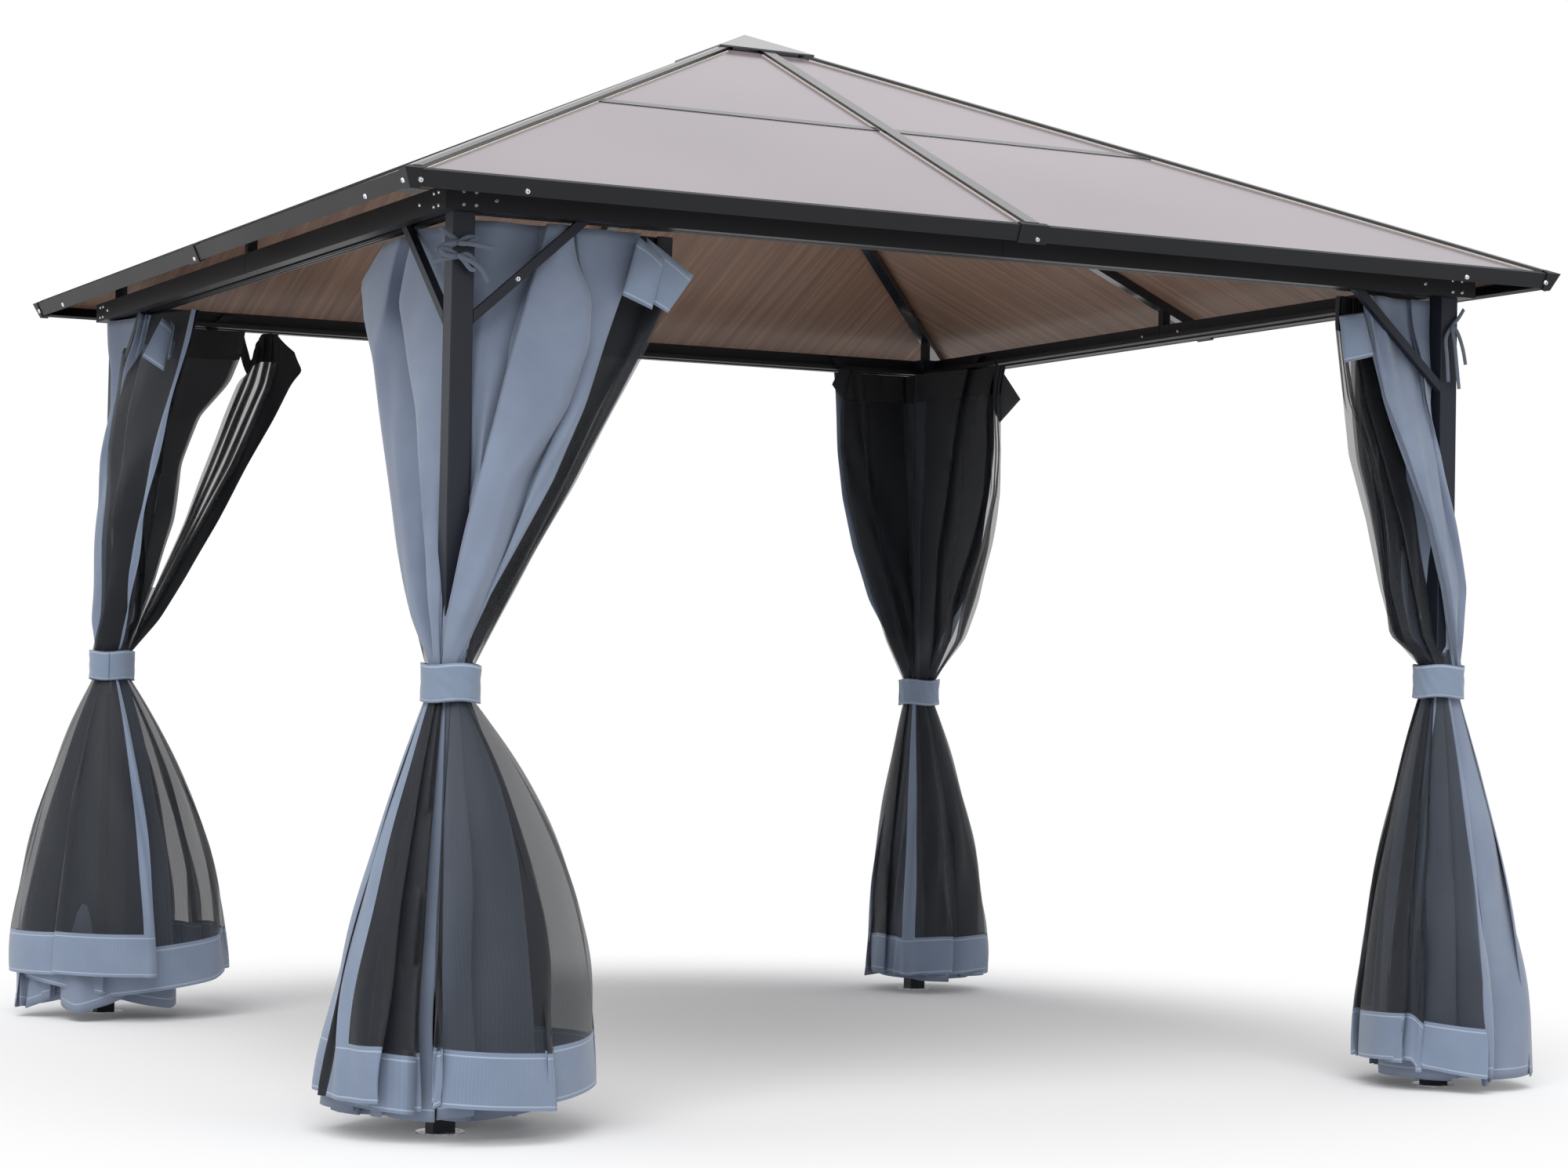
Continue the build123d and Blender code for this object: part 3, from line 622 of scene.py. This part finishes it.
def foldKnots(lines, fullness, part):
    # Places along the sheet as mixes of two fold lines, and how deep each is hidden: every fold
    # line in turn, and behind those with a tuck the cloth that lies doubled there. The face before
    # a fold line starts as deep as the last hidden fold left it, so the next count from there.
    knots = [{"near": 0, "far": 0, "share": 0.0, "depth": 0.0, "face": 0}]
    for number in range(1, len(lines)):
        start = knots[-1]["depth"]
        knots.append({"near": number, "far": number, "share": 0.0, "depth": 0.0, "face": number})
        tuck = lines[number]["tuck"]
        for layer in range(fullness if max(tuck) else 0):
            for share, step in ((tuck[part], 1), (drape["tuckReturn"] * tuck[part], 2)):
                depth = start * share + 2 * layer + step
                knots.append({"near": number, "far": number - 1, "share": share, "depth": depth, "face": -1})
    return knots


def columnMix(lines, fullness, part):
    # For every column of the sheet its share of each fold line, how deep it is hidden, how far
    # it swells, and the fold line that its face ends at
    knots = foldKnots(lines, fullness, part)

    def sharesOf(knot):
        shares = np.zeros(len(lines))
        shares[knot["near"]] += 1 - knot["share"]
        shares[knot["far"]] += knot["share"]
        return shares

    columns, faceEnds = [], []
    for first, second in zip(knots, knots[1:]):
        onFace = second["face"] > 0
        count = drape["faceColumns"] if onFace else drape["tuckColumns"]
        for step in np.arange(count) / count:
            shares = sharesOf(first) * (1 - step) + sharesOf(second) * step
            depth = first["depth"] * (1 - step) + second["depth"] * step
            swell = math.sin(math.pi * step) if onFace and first["depth"] == 0 else 0.0
            columns.append((*shares, depth, swell))
            faceEnds.append(second["face"])
    columns.append((*sharesOf(knots[-1]), knots[-1]["depth"], 0.0))
    table = np.array(columns)
    roundOff(table)
    return table[:, :-2], table[:, -2], table[:, -1], np.array(faceEnds)


def hangSheet(place, corner, kind):
    # One sheet of cloth: along both tracks at the top, drawn in round the post at the tie-back, and
    # a flared skirt below. The sheet is one grid of rows and columns, laid along its fold lines.
    hang = {**layers[kind], **corner[kind]}
    lines = foldLines(place, kind)
    seed = corner["seed"] + hang["seedStep"]
    tieTop = corner["tie"] + drape["tieHeight"] / 2
    tieBottom = tieTop - drape["tieHeight"]
    mix, hidden, swell, faceEnds = columnMix(lines, hang["fullness"], 0)
    mixLow, hiddenLow, _, _ = columnMix(lines, hang["fullness"], 1)
    across = np.linspace(0, 1, len(mix))[None, :]

    def mixed(values, shares=mix):
        return shares @ np.asarray(values, float)

    def byLine(key, shares):
        return mixed([hang.get(key, {}).get(number, 0.0) for number in range(len(lines))], shares)

    # Above the tie-back: each fold line's place in plan at every row
    fallen = np.linspace(0, 1, drape["upperRows"]) ** drape["rowCrowd"]
    level = drape["top"] + (tieTop - drape["top"]) * fallen

    def atLevels(values):
        return np.interp(-level, -np.array(drape["heights"]), values)

    alongHide, acrossHide = hang["hide"]
    cornerHide = drape["cornerWay"] * alongHide
    hideWays = {"along": (0, alongHide), "corner": (cornerHide, cornerHide), "across": (acrossHide, 0)}
    paths = []
    for line in lines:
        reach = atLevels(line["reach"])
        path = (reach, reach)
        if line["side"] == "along":
            path = (reach, atLevels(hang["stand"][0]) + line["behind"])
        elif line["side"] == "across":
            path = (atLevels(hang["stand"][1]) + line["behind"], reach)
        paths.append(np.stack(path, -1))
    placed = np.einsum("cg,grk->rck", mix, np.array(paths))
    away = mixed([hideWays[line["side"]] for line in lines])
    deep = hidden * hang["tuck"][0] - swell * hang["puff"]
    placed = placed + away * (deep + ripple("above", seed, across, level[:, None]))[..., None]
    behind = mixed([np.clip(line["behind"], -drape["behindMost"], drape["behindMost"]) for line in lines])
    out = mixed([line["out"] for line in lines], mixLow)
    sunk = np.minimum(hidden * hang["tuck"][1], drape["deepest"])
    sunkLow = np.minimum(hiddenLow * hang["tuck"][1], drape["deepest"])
    highRadius = hang["neck"] - sunk - drape["behindShare"] * behind
    lowRadius = hang["neck"] - sunkLow + drape["outShare"] * out
    above = mixed([line["above"] for line in lines])
    below = mixed([line["below"] for line in lines], mixLow)
    lowest = drape["heights"][-1]
    drawn = np.clip((lowest - level) / (lowest - tieTop), 0, 1)[:, None, None]
    upper = placed * (1 - drawn) + ringPoints(above, highRadius) * drawn
    roundOff(upper)
    fading = 1 - smoothStep(np.linspace(0, drape["dropFade"], len(level)))
    height = level[:, None] - byLine("drops", mix) * fading[:, None]
    upper = np.concatenate((upper, height[..., None]), -1)

    # Inside it the fold lines move round to where they hang below
    middle = []
    for step in np.linspace(0, 1, drape["tieRows"] + 1)[1:]:
        share = smoothStep(step)
        circle = ringPoints(above + (below - above) * share, highRadius + (lowRadius - highRadius) * share)
        height = np.full(len(circle), tieTop + (tieBottom - tieTop) * step)
        middle.append(np.column_stack((circle, height)))

    # Below it
    bandShare = 1 - drape["hemBand"] / (tieBottom - hang["low"])
    plainRows = np.linspace(0, bandShare, drape["lowerRows"] + 1)[1:]
    hemRows = np.linspace(bandShare, 1, drape["hemRows"] + 1)[1:]
    down = np.concatenate((plainRows, hemRows))[:, None]
    flare = 1 - (1 - down) ** np.interp(below, *zip(*corner["belly"]))[None, :]
    fold = out - hiddenLow * hang["tuck"][2] + swell * hang["puff"]
    fold = fold[None, :] * (drape["foldAtTie"] + (1 - drape["foldAtTie"]) * down)
    fold = fold + ripple("skirt", seed, across, down)
    radius = lowRadius + (hang["hem"] - hang["neck"] + fold) * flare
    angle = below + ripple("swing", seed, across, down) * down
    skirt = np.array(hang["shift"]) * flare[..., None] + ringPoints(angle, radius)
    hem = hang["low"] + byLine("lifts", mixLow) + ripple("hem", seed, across, 0.0)
    height = tieBottom + (hem - tieBottom) * down
    skirt = np.concatenate((skirt, height[..., None]), -1)
    sewSheet(place, corner, kind, np.concatenate((upper, np.stack(middle), skirt)), faceEnds)


def sewSheet(place, corner, kind, points, faceEnds):
    # The sheet's mesh with its cut, across the sheet and up from its lower edge
    hang = corner[kind]
    rowCount, columnCount = points.shape[:2]
    world = fromCorner(points, corner["turn"]).reshape(-1, 3)
    rowDrop = np.linalg.norm(np.diff(points, axis=0), axis=-1).mean(axis=1)
    up = np.concatenate((np.cumsum(rowDrop[::-1])[::-1], [0.0]))
    cut = gridCut(np.linspace(0, 1, columnCount)[None, :] * drape["flatWidth"], up[:, None])
    faces = gridFaces(rowCount, columnCount)
    faceRow, faceColumn = np.divmod(faces[:, 0], columnCount)
    whole = np.ones(len(faces), bool)
    for number, top, bottom in hang.get("slits", ()):
        level = points[faceRow, 0, 2]
        whole &= ~((faceEnds[faceColumn] == number) & (level < top) & (level > bottom))
    faces, faceRow, faceEnd = faces[whole], faceRow[whole], faceEnds[faceColumn][whole]

    if kind == "curtain":
        cloth = [finishes["curtain"]]
        piece = finishPiece(f"curtain_cloth_{place}", world, faces, cloth, uv=cut)
        thicken(piece, "cloth thickness", drape["thick"])
    else:
        # Sewn-on bands: grey (1) at the hem and down the ends, black webbing (2) along the top
        cloth = [finishes["net"], finishes["band"], finishes["webbing"]]
        index = np.where(up[faceRow] > up[0] - drape["headerBand"], 2, 0)
        index = np.where(faceRow >= rowCount - 1 - drape["hemRows"], 1, index)
        for number, part, finish in hang["bands"]:
            inPart = faceRow > drape["upperRows"] if part == "below" else faceRow < drape["upperRows"]
            index = np.where((faceEnd == number) & inPart, finish, index)
        piece = finishPiece(f"net_cloth_{place}", world, faces, cloth, index, cut)
    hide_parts(f"{kind}_{place}")
    area = sum(polygon.area for polygon in piece.data.polygons)
    print(piece.name, "area share", round(area / drape["flatWidth"] / drape["flatHeight"], 3))


for place, corner in corners.items():
    hangSheet(place, corner, "curtain")
    hangSheet(place, corner, "net")
print("curtains and nets hung")

strap = {
    "height": 0.080, "radius": 0.0605, "overlap": 0.055, "thick": 0.0022, "columns": 150, "rows": 9,
    "startAngle": -75, "lapRise": 0.0026, "lapEarly": 0.02, "lapOver": 0.03,
    "edgeRise": 0.0014, "wander": 0.0025, "wanderTurns": 3, "wanderSpread": 0.2, "seedStep": 77,
}


def tieStrap(place, corner):
    # A strap of doubled polyester, wound once round the cloth with its end lapped over
    rng = np.random.default_rng(corner["seed"] + strap["seedStep"])
    girth = 2 * math.pi * strap["radius"]
    length = girth + strap["overlap"]
    along = np.linspace(0, 1, strap["columns"])
    angle = math.radians(strap["startAngle"]) + along * length / strap["radius"]
    lapped = smoothStep((along * length - girth + strap["lapEarly"]) / strap["lapOver"])
    rows = []
    for rise in np.linspace(-1, 1, strap["rows"]):
        crease = ripple("strap", corner["seed"], along, rise)
        radius = strap["radius"] + strap["lapRise"] * lapped + crease + strap["edgeRise"] * rise * rise
        wave = np.sin(strap["wanderTurns"] * angle + rng.uniform(0, strap["wanderSpread"]))
        height = corner["tie"] + rise * strap["height"] / 2 + strap["wander"] * wave
        rows.append(np.stack((radius * np.cos(angle), radius * np.sin(angle), height), -1))
    points = fromCorner(np.stack(rows[::-1]), corner["turn"]).reshape(-1, 3)
    fromLow = np.linspace(strap["height"], 0, strap["rows"])
    cut = gridCut(along * length, fromLow[:, None])
    faces = gridFaces(strap["rows"], strap["columns"])
    piece = finishPiece(f"tie_strap_{place}", points, faces, [finishes["strap"]], uv=cut)
    thicken(piece, "doubled cloth", strap["thick"])
    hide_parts("tie_backs")


for place, corner in corners.items():
    tieStrap(place, corner)
print("tie straps wound")


# Header flaps that hang loose from the tracks: the upright plane that each lies in, its four corners
# across and up, and how far it swells
flapCloth = {"count": 10, "thick": 0.0018, "fullness": 0.7}
flaps = {
    "front_left_loop": {
        "plane": -1.312, "swell": 0.016, "finish": "band",
        "corners": ((-0.891, 1.918), (-0.829, 1.873), (-0.856, 1.761), (-0.927, 1.787)),
    },
    "front_left_flap": {
        "plane": -1.304, "swell": 0.006, "finish": "band",
        "corners": ((-0.868, 1.918), (-0.753, 1.843), (-0.814, 1.757), (-0.857, 1.778)),
    },
    "front_right_pouch": {
        "plane": -1.296, "swell": 0.014, "finish": "band",
        "corners": ((0.987, 1.873), (1.059, 1.886), (1.093, 1.782), (1.005, 1.76)),
    },
    "back_left_flap": {
        "plane": 0.86, "swell": 0.01, "finish": "band",
        "corners": ((-1.309, 1.909), (-1.279, 1.884), (-1.302, 1.765), (-1.362, 1.8)),
    },
    "back_left_small_flap": {
        "plane": 0.87, "swell": 0.006, "finish": "band",
        "corners": ((-1.281, 1.903), (-1.241, 1.866), (-1.257, 1.801), (-1.289, 1.798)),
    },
    "back_right_left_flap": {
        "plane": 1.25, "swell": 0.004, "finish": "webbing",
        "corners": ((0.971, 1.943), (1.005, 1.942), (0.986, 1.831), (0.941, 1.887)),
    },
    "back_right_flap": {
        "plane": 0.8, "swell": 0.006, "finish": "webbing",
        "corners": ((1.261, 1.947), (1.353, 1.833), (1.281, 1.758), (1.254, 1.805)),
    },
}


def hangFlap(name, flap):
    # A loose end of the sewn-on heading, a small piece of doubled cloth
    count = flapCloth["count"]
    corner = np.array([(across, flap["plane"], up) for across, up in flap["corners"]])
    down, across = np.meshgrid(np.linspace(0, 1, count), np.linspace(0, 1, count), indexing="ij")
    upper = corner[0] + (corner[1] - corner[0]) * across[..., None]
    lower = corner[3] + (corner[2] - corner[3]) * across[..., None]
    points = upper + (lower - upper) * down[..., None]
    swell = np.sin(math.pi * across) * np.sin(math.pi * down) ** flapCloth["fullness"]
    points[..., 1] -= flap["swell"] * swell
    width = (np.linalg.norm(corner[1] - corner[0]) + np.linalg.norm(corner[2] - corner[3])) / 2
    height = (np.linalg.norm(corner[3] - corner[0]) + np.linalg.norm(corner[2] - corner[1])) / 2
    cut = gridCut(across * width, (1 - down) * height)
    cloth = [finishes[flap["finish"]]]
    faces = gridFaces(count, count)
    piece = finishPiece(f"header_{name}", points.reshape(-1, 3), faces, cloth, uv=cut)
    thicken(piece, "doubled cloth", flapCloth["thick"])


for name, flap in flaps.items():
    hangFlap(name, flap)
print("header flaps hung")


# Ribbons tied round the front posts: each is one run of ribbon through these places, in mm
ribbon = {"width": 0.010, "thick": 0.0008, "steps": 7, "facing": (0.0, 1.0, 0.25)}
ribbons = {
    "front_left_upper": (
        (-1359, -1331, 1898), (-1339, -1332, 1886), (-1318, -1333, 1870), (-1345, -1335, 1857),
        (-1366, -1336, 1850), (-1348, -1337, 1862), (-1320, -1338, 1869), (-1297, -1339, 1881),
        (-1278, -1341, 1880), (-1301, -1342, 1867), (-1319, -1343, 1867), (-1282, -1344, 1866),
        (-1238, -1345, 1862),
    ),
    "front_left_lower": (
        (-1375, -1333, 1822), (-1346, -1334, 1833), (-1318, -1335, 1840), (-1340, -1337, 1851),
        (-1358, -1338, 1852), (-1346, -1339, 1840), (-1320, -1340, 1839), (-1296, -1341, 1844),
        (-1278, -1343, 1821), (-1290, -1344, 1813), (-1310, -1345, 1833), (-1320, -1346, 1839),
        (-1289, -1347, 1828), (-1268, -1349, 1812), (-1254, -1350, 1787),
    ),
    "front_right_upper": (
        (1339, -1331, 1910), (1322, -1332, 1887), (1301, -1333, 1865), (1282, -1335, 1835),
        (1285, -1336, 1789), (1289, -1337, 1727),
    ),
    "front_right_lower": (
        (1344, -1334, 1773), (1334, -1335, 1811), (1318, -1336, 1847), (1299, -1338, 1864),
        (1306, -1339, 1821), (1313, -1340, 1763), (1319, -1341, 1711),
    ),
}


def tieRibbon(name, knots):
    # A narrow ribbon laid along a smooth line through its knots and loops, its face to the front
    knots = np.array(knots) / 1000
    ends = np.vstack((2 * knots[0] - knots[1], knots, 2 * knots[-1] - knots[-2]))
    line = []
    for before, first, second, after in zip(ends, ends[1:], ends[2:], ends[3:]):
        bend = 2 * before - 5 * first + 4 * second - after
        twist = 3 * first - before - 3 * second + after
        for step in np.arange(ribbon["steps"]) / ribbon["steps"]:
            line.append(0.5 * (2 * first + (second - before) * step + bend * step**2 + twist * step**3))
    line = np.array(line + [knots[-1]])
    side = np.cross(np.gradient(line, axis=0), ribbon["facing"])
    side /= np.linalg.norm(side, axis=1)[:, None]
    half = ribbon["width"] / 2
    points = np.stack((line - side * half, line, line + side * half)).reshape(-1, 3)
    run = np.concatenate(([0.0], np.cumsum(np.linalg.norm(np.diff(line, axis=0), axis=1))))
    rise = np.array((0.0, half, ribbon["width"]))
    cut = gridCut(run[None, :], rise[:, None])
    faces = gridFaces(len(rise), len(line))
    piece = finishPiece(f"ribbon_{name}", points, faces, [finishes["ribbon"]], uv=cut)
    thicken(piece, "ribbon thickness", ribbon["thick"])


for name, knots in ribbons.items():
    tieRibbon(name, knots)
print("ribbons tied")


def roofPoint(across, run, offset):
    # A point of the front roof side: across from its middle, down the slope from the apex, and
    # so far square above the panel's middle plane
    cosine, sine = math.cos(roof["pitch"]), math.sin(roof["pitch"])
    return (across, -run * cosine - offset * sine, roof["apex"] - run * sine + offset * cosine)


tape = {"width": 0.0022, "thick": 0.002, "topRun": 0.16, "endRun": 1.615, "hipSlant": 1.35}


def panelTape():
    # Sealing tape along the panel edges, beside the caps of the roof bars
    cosine = math.cos(roof["pitch"])
    hipFall = math.acos(cosine ** 2) / 2
    inner = roof["capHalf"]
    hipInner = inner / math.cos(hipFall) / math.cos(math.atan(cosine))
    bars = ((inner, inner + tape["width"]), (hipInner, hipInner + tape["width"] * tape["hipSlant"]))
    quads = ((0, 2, 6, 4), (1, 5, 7, 3), (0, 4, 5, 1), (2, 3, 7, 6), (0, 1, 3, 2), (4, 6, 7, 5))
    verts, faces = [], []
    for turn in sideTurns:
        for side in (-1, 1):
            for onHip, edges in enumerate(bars):
                faces.extend([len(verts) + i for i in quad] for quad in quads)
                for run in (tape["topRun"], tape["endRun"]):
                    for edge in edges:
                        across = side * (run * cosine - edge if onHip else edge)
                        for offset in (roof["panelTop"], roof["panelTop"] + tape["thick"]):
                            verts.append(turned(roofPoint(across, run, offset), turn))
    finishPiece("panel_edge_tape", verts, faces, [finishes["gasket"]], smooth=False)


panelTape()
print("panel edges taped")

boltHead = {"Radius": 1.0, "Height": 0.55, "Dome": 0.72}
boltSocket = {"Radius": 0.36, "Height": 0.08, "Dome": 0.9}
socketLift = 0.5
# Bolts of the front side: the way each head faces, its place and its radius. A place on the slope is
# across, down from the apex, and above the panel's middle plane.
postBolts = {"spread": 0.014, "height": 1.961, "radius": 0.0042}  # four where a beam meets a post
sideBolts = (
    ("front", (-1.24, -1.355, 1.961), 0.0046),  # beam, beside the posts
    ("front", (1.202, -1.355, 1.961), 0.0046),
    ("front", (-1.176, -1.325, 1.803), 0.0062),  # knee brace
    ("inward", (-0.09, -1.325, 1.962), 0.0050),  # beam's inner face, beside its seam
    ("inward", (0.09, -1.325, 1.962), 0.0050),
    ("slope", (-1.224, 1.6364, -0.019), 0.0062),  # eave rail
    ("slope", (1.224, 1.6364, -0.019), 0.0062),
    ("slope", (0.012, 1.6394, -0.022), 0.0056),
    ("slope", (-1.462, 1.6394, -0.014), 0.0062),
    ("slope", (1.462, 1.6394, -0.014), 0.0062),
    ("upward", (-0.024, -1.34, 1.986), 0.0046),  # feet of the middle strut
    ("upward", (0.024, -1.34, 1.986), 0.0046),
)


def facePoints():
    downSlope = (0, -math.cos(roof["pitch"]), -math.sin(roof["pitch"]))
    ways = {"front": (0, -1, 0), "inward": (0, 1, 0), "upward": (0, 0, 1), "slope": downSlope}
    spread = postBolts["spread"]
    places = []
    for across in (-spread, spread):
        for up in (-spread, spread):
            for post in (-plan["postAxis"], plan["postAxis"]):
                place = (post + across, -plan["beamFace"], postBolts["height"] + up)
                places.append((place, ways["front"], postBolts["radius"]))
    for facing, place, radius in sideBolts:
        places.append((roofPoint(*place) if facing == "slope" else place, ways[facing], radius))
    return places


def studTree(name):
    # Short round studs on a cloud of points: each faces its point's way at its point's size
    tree = bpy.data.node_groups.new(name, "GeometryNodeTree")
    sockets = tree.interface
    sockets.new_socket("Geometry", in_out="INPUT", socket_type="NodeSocketGeometry")
    for label, value in (("Radius", 1.0), ("Height", 0.5), ("Dome", 0.6)):
        sockets.new_socket(label, in_out="INPUT", socket_type="NodeSocketFloat").default_value = value
    sockets.new_socket("Finish", in_out="INPUT", socket_type="NodeSocketMaterial")
    sockets.new_socket("Geometry", in_out="OUTPUT", socket_type="NodeSocketGeometry")
    given = addNode(tree, "NodeGroupInput").outputs
    dome = {0: given["Radius"], 1: given["Dome"]}
    crown = addNode(tree, "ShaderNodeMath", {"operation": "MULTIPLY"}, dome).outputs[0]
    facets = {"Vertices": 16, "Side Segments": 2, "fill_type": "NGON"}
    cone = {"Radius Bottom": given["Radius"], "Depth": given["Height"], "Radius Top": crown}
    stud = addNode(tree, "GeometryNodeMeshCone", facets, cone).outputs[0]
    facing = {"data_type": "FLOAT_VECTOR", "Name": "facing"}
    way = addNode(tree, "GeometryNodeInputNamedAttribute", facing).outputs[0]
    size = addNode(tree, "GeometryNodeInputNamedAttribute", {"data_type": "FLOAT", "Name": "size"}).outputs[0]
    turn = addNode(tree, "FunctionNodeAlignRotationToVector", {"axis": "Z"}, {"Vector": way}).outputs[0]
    spread = {"Points": given[0], "Instance": stud, "Rotation": turn, "Scale": size}
    studs = addNode(tree, "GeometryNodeInstanceOnPoints", links=spread).outputs[0]
    real = addNode(tree, "GeometryNodeRealizeInstances", links={0: studs}).outputs[0]
    finish = {"Geometry": real, "Material": given["Finish"]}
    done = addNode(tree, "GeometryNodeSetMaterial", links=finish).outputs[0]
    addNode(tree, "NodeGroupOutput", links={0: done})
    return tree


def pointCloud(name, places):
    # A mesh of loose points that carry the way they face and their size
    points, ways, sizes = zip(*places)
    mesh = bpy.data.meshes.new(name)
    mesh.from_pydata(points, [], [])
    facing = mesh.attributes.new("facing", "FLOAT_VECTOR", "POINT")
    facing.data.foreach_set("vector", np.array(ways, np.float32).ravel())
    size = mesh.attributes.new("size", "FLOAT", "POINT")
    size.data.foreach_set("value", np.array(sizes, np.float32))
    return newObject(name, mesh)


def realizedPiece(name, places, tree, inputs):
    # The tree's result as a plain mesh on its own object
    holder = pointCloud(name + " points", places)
    grow = holder.modifiers.new("grow", "NODES")
    grow.node_group = tree
    for item in tree.interface.items_tree:
        if item.in_out == "INPUT" and item.name in inputs:
            grow[item.identifier] = inputs[item.name]
    graph = bpy.context.evaluated_depsgraph_get()
    mesh = bpy.data.meshes.new_from_object(holder.evaluated_get(graph), depsgraph=graph)
    holder.modifiers.remove(grow)
    bpy.data.objects.remove(holder)
    mesh.name = name
    newPiece(name, mesh)


def boltSet():
    # Pan-head bolts with a socket, on all four sides
    tree = studTree("studs")
    heads, sunk = [], []
    for turn in sideTurns:
        for place, way, radius in facePoints():
            place, way = turned(place, turn), turned(way, turn)
            heads.append((tuple(place), tuple(way), radius))
            sunk.append((tuple(place + way * radius * socketLift), tuple(way), radius))
    realizedPiece("bolt_heads", heads, tree, {**boltHead, "Finish": finishes["bolt"]})
    realizedPiece("bolt_sockets", sunk, tree, {**boltSocket, "Finish": finishes["socket"]})


boltSet()
print("bolts placed")

camera = {
    "place": (-3.8392, -7.8116, 0.9568), "azimuth": 0.472, "elevation": 0.0299, "roll": 0.019,
    "lens": 75.797, "sensor": 36.0,
}


def placeCamera():
    azimuth, elevation, roll = camera["azimuth"], camera["elevation"], camera["roll"]
    flat = math.cos(elevation)
    ahead = Vector((math.sin(azimuth) * flat, math.cos(azimuth) * flat, math.sin(elevation)))
    level = Vector((math.cos(azimuth), -math.sin(azimuth), 0))
    upright = level.cross(ahead)
    right = level * math.cos(roll) + upright * math.sin(roll)
    up = upright * math.cos(roll) - level * math.sin(roll)
    data = bpy.data.cameras.new("camera")
    data.lens = camera["lens"]
    data.sensor_width = camera["sensor"]
    data.sensor_fit = "HORIZONTAL"
    holder = newObject("camera", data)
    turn = Matrix((right, up, -ahead)).transposed().to_4x4()
    holder.matrix_world = Matrix.Translation(camera["place"]) @ turn
    bpy.context.scene.camera = holder


placeCamera()

stage = {
    "floorRadius": 45.0, "floorSides": 96, "fadeFrom": 1.5, "fadeTo": 3.1, "floor": "#f4f4f4",
    "sky": "#f6f7fa", "skyLight": 0.70, "sunLight": 2.0, "sunSpread": 48, "sunFrom": (-0.40, -0.58, 0.85),
}


def seenRays(tree):
    # 1 for the rays that show the background, straight or through metal and glass
    ray = addNode(tree, "ShaderNodeLightPath").outputs
    seen = ray["Is Camera Ray"]
    for other in ("Is Glossy Ray", "Is Transmission Ray"):
        seen = addNode(tree, "ShaderNodeMath", {"operation": "MAXIMUM"}, {0: seen, 1: ray[other]}).outputs[0]
    return seen


def layFloor():
    # A pale floor that keeps the shadow near the object and fades to white further off
    sides = stage["floorSides"]
    rim = ringPoints(np.arange(sides) * 360 / sides, stage["floorRadius"])
    mesh = bpy.data.meshes.new("floor")
    mesh.from_pydata([(x, y, 0.0) for x, y in rim], [], [list(range(sides))])
    floor = newObject("floor", mesh)
    matt = {"Base Color": hexColor(stage["floor"]), "Roughness": 0.9, "Specular IOR Level": 0.0}
    material, tree, shader = newMaterial("pale floor", matt)
    white = addNode(tree, "ShaderNodeEmission", {"Color": (1, 1, 1, 1), "Strength": 1.0}).outputs[0]
    place = addNode(tree, "ShaderNodeTexCoord").outputs["Object"]
    away = addNode(tree, "ShaderNodeVectorMath", {"operation": "LENGTH"}, {0: place}).outputs["Value"]
    fading = {"interpolation_type": "SMOOTHSTEP", "From Min": stage["fadeFrom"], "From Max": stage["fadeTo"]}
    fade = addNode(tree, "ShaderNodeMapRange", fading, {"Value": away}).outputs[0]
    shares = {0: seenRays(tree), 1: fade}
    share = addNode(tree, "ShaderNodeMath", {"operation": "MULTIPLY"}, shares).outputs[0]
    mixed = addNode(tree, "ShaderNodeMixShader", links={0: share, 1: shader.outputs[0], 2: white})
    output = next(node for node in tree.nodes if node.type == "OUTPUT_MATERIAL")
    joinLinks(tree, output, {"Surface": mixed.outputs[0]})
    mesh.materials.append(material)


def lightStage():
    # An even pale sky that looks white, and one broad soft sun
    world = bpy.data.worlds.new("studio")
    bpy.context.scene.world = world
    world.use_nodes = True
    tree = world.node_tree
    tree.nodes.clear()
    light = {"Color": hexColor(stage["sky"]), "Strength": stage["skyLight"]}
    sky = addNode(tree, "ShaderNodeBackground", light).outputs[0]
    white = addNode(tree, "ShaderNodeBackground", {"Color": (1, 1, 1, 1), "Strength": 1.0}).outputs[0]
    mixed = addNode(tree, "ShaderNodeMixShader", links={0: seenRays(tree), 1: sky, 2: white})
    addNode(tree, "ShaderNodeOutputWorld", links={"Surface": mixed.outputs[0]})
    sun = bpy.data.lights.new("soft sun", "SUN")
    sun.energy = stage["sunLight"]
    sun.angle = math.radians(stage["sunSpread"])
    holder = newObject("soft sun", sun)
    holder.rotation_mode = "QUATERNION"
    holder.rotation_quaternion = Vector(stage["sunFrom"]).to_track_quat("Z", "Y")


layFloor()
lightStage()
bpy.context.scene.view_settings.view_transform = "Standard"
print("stage lit")
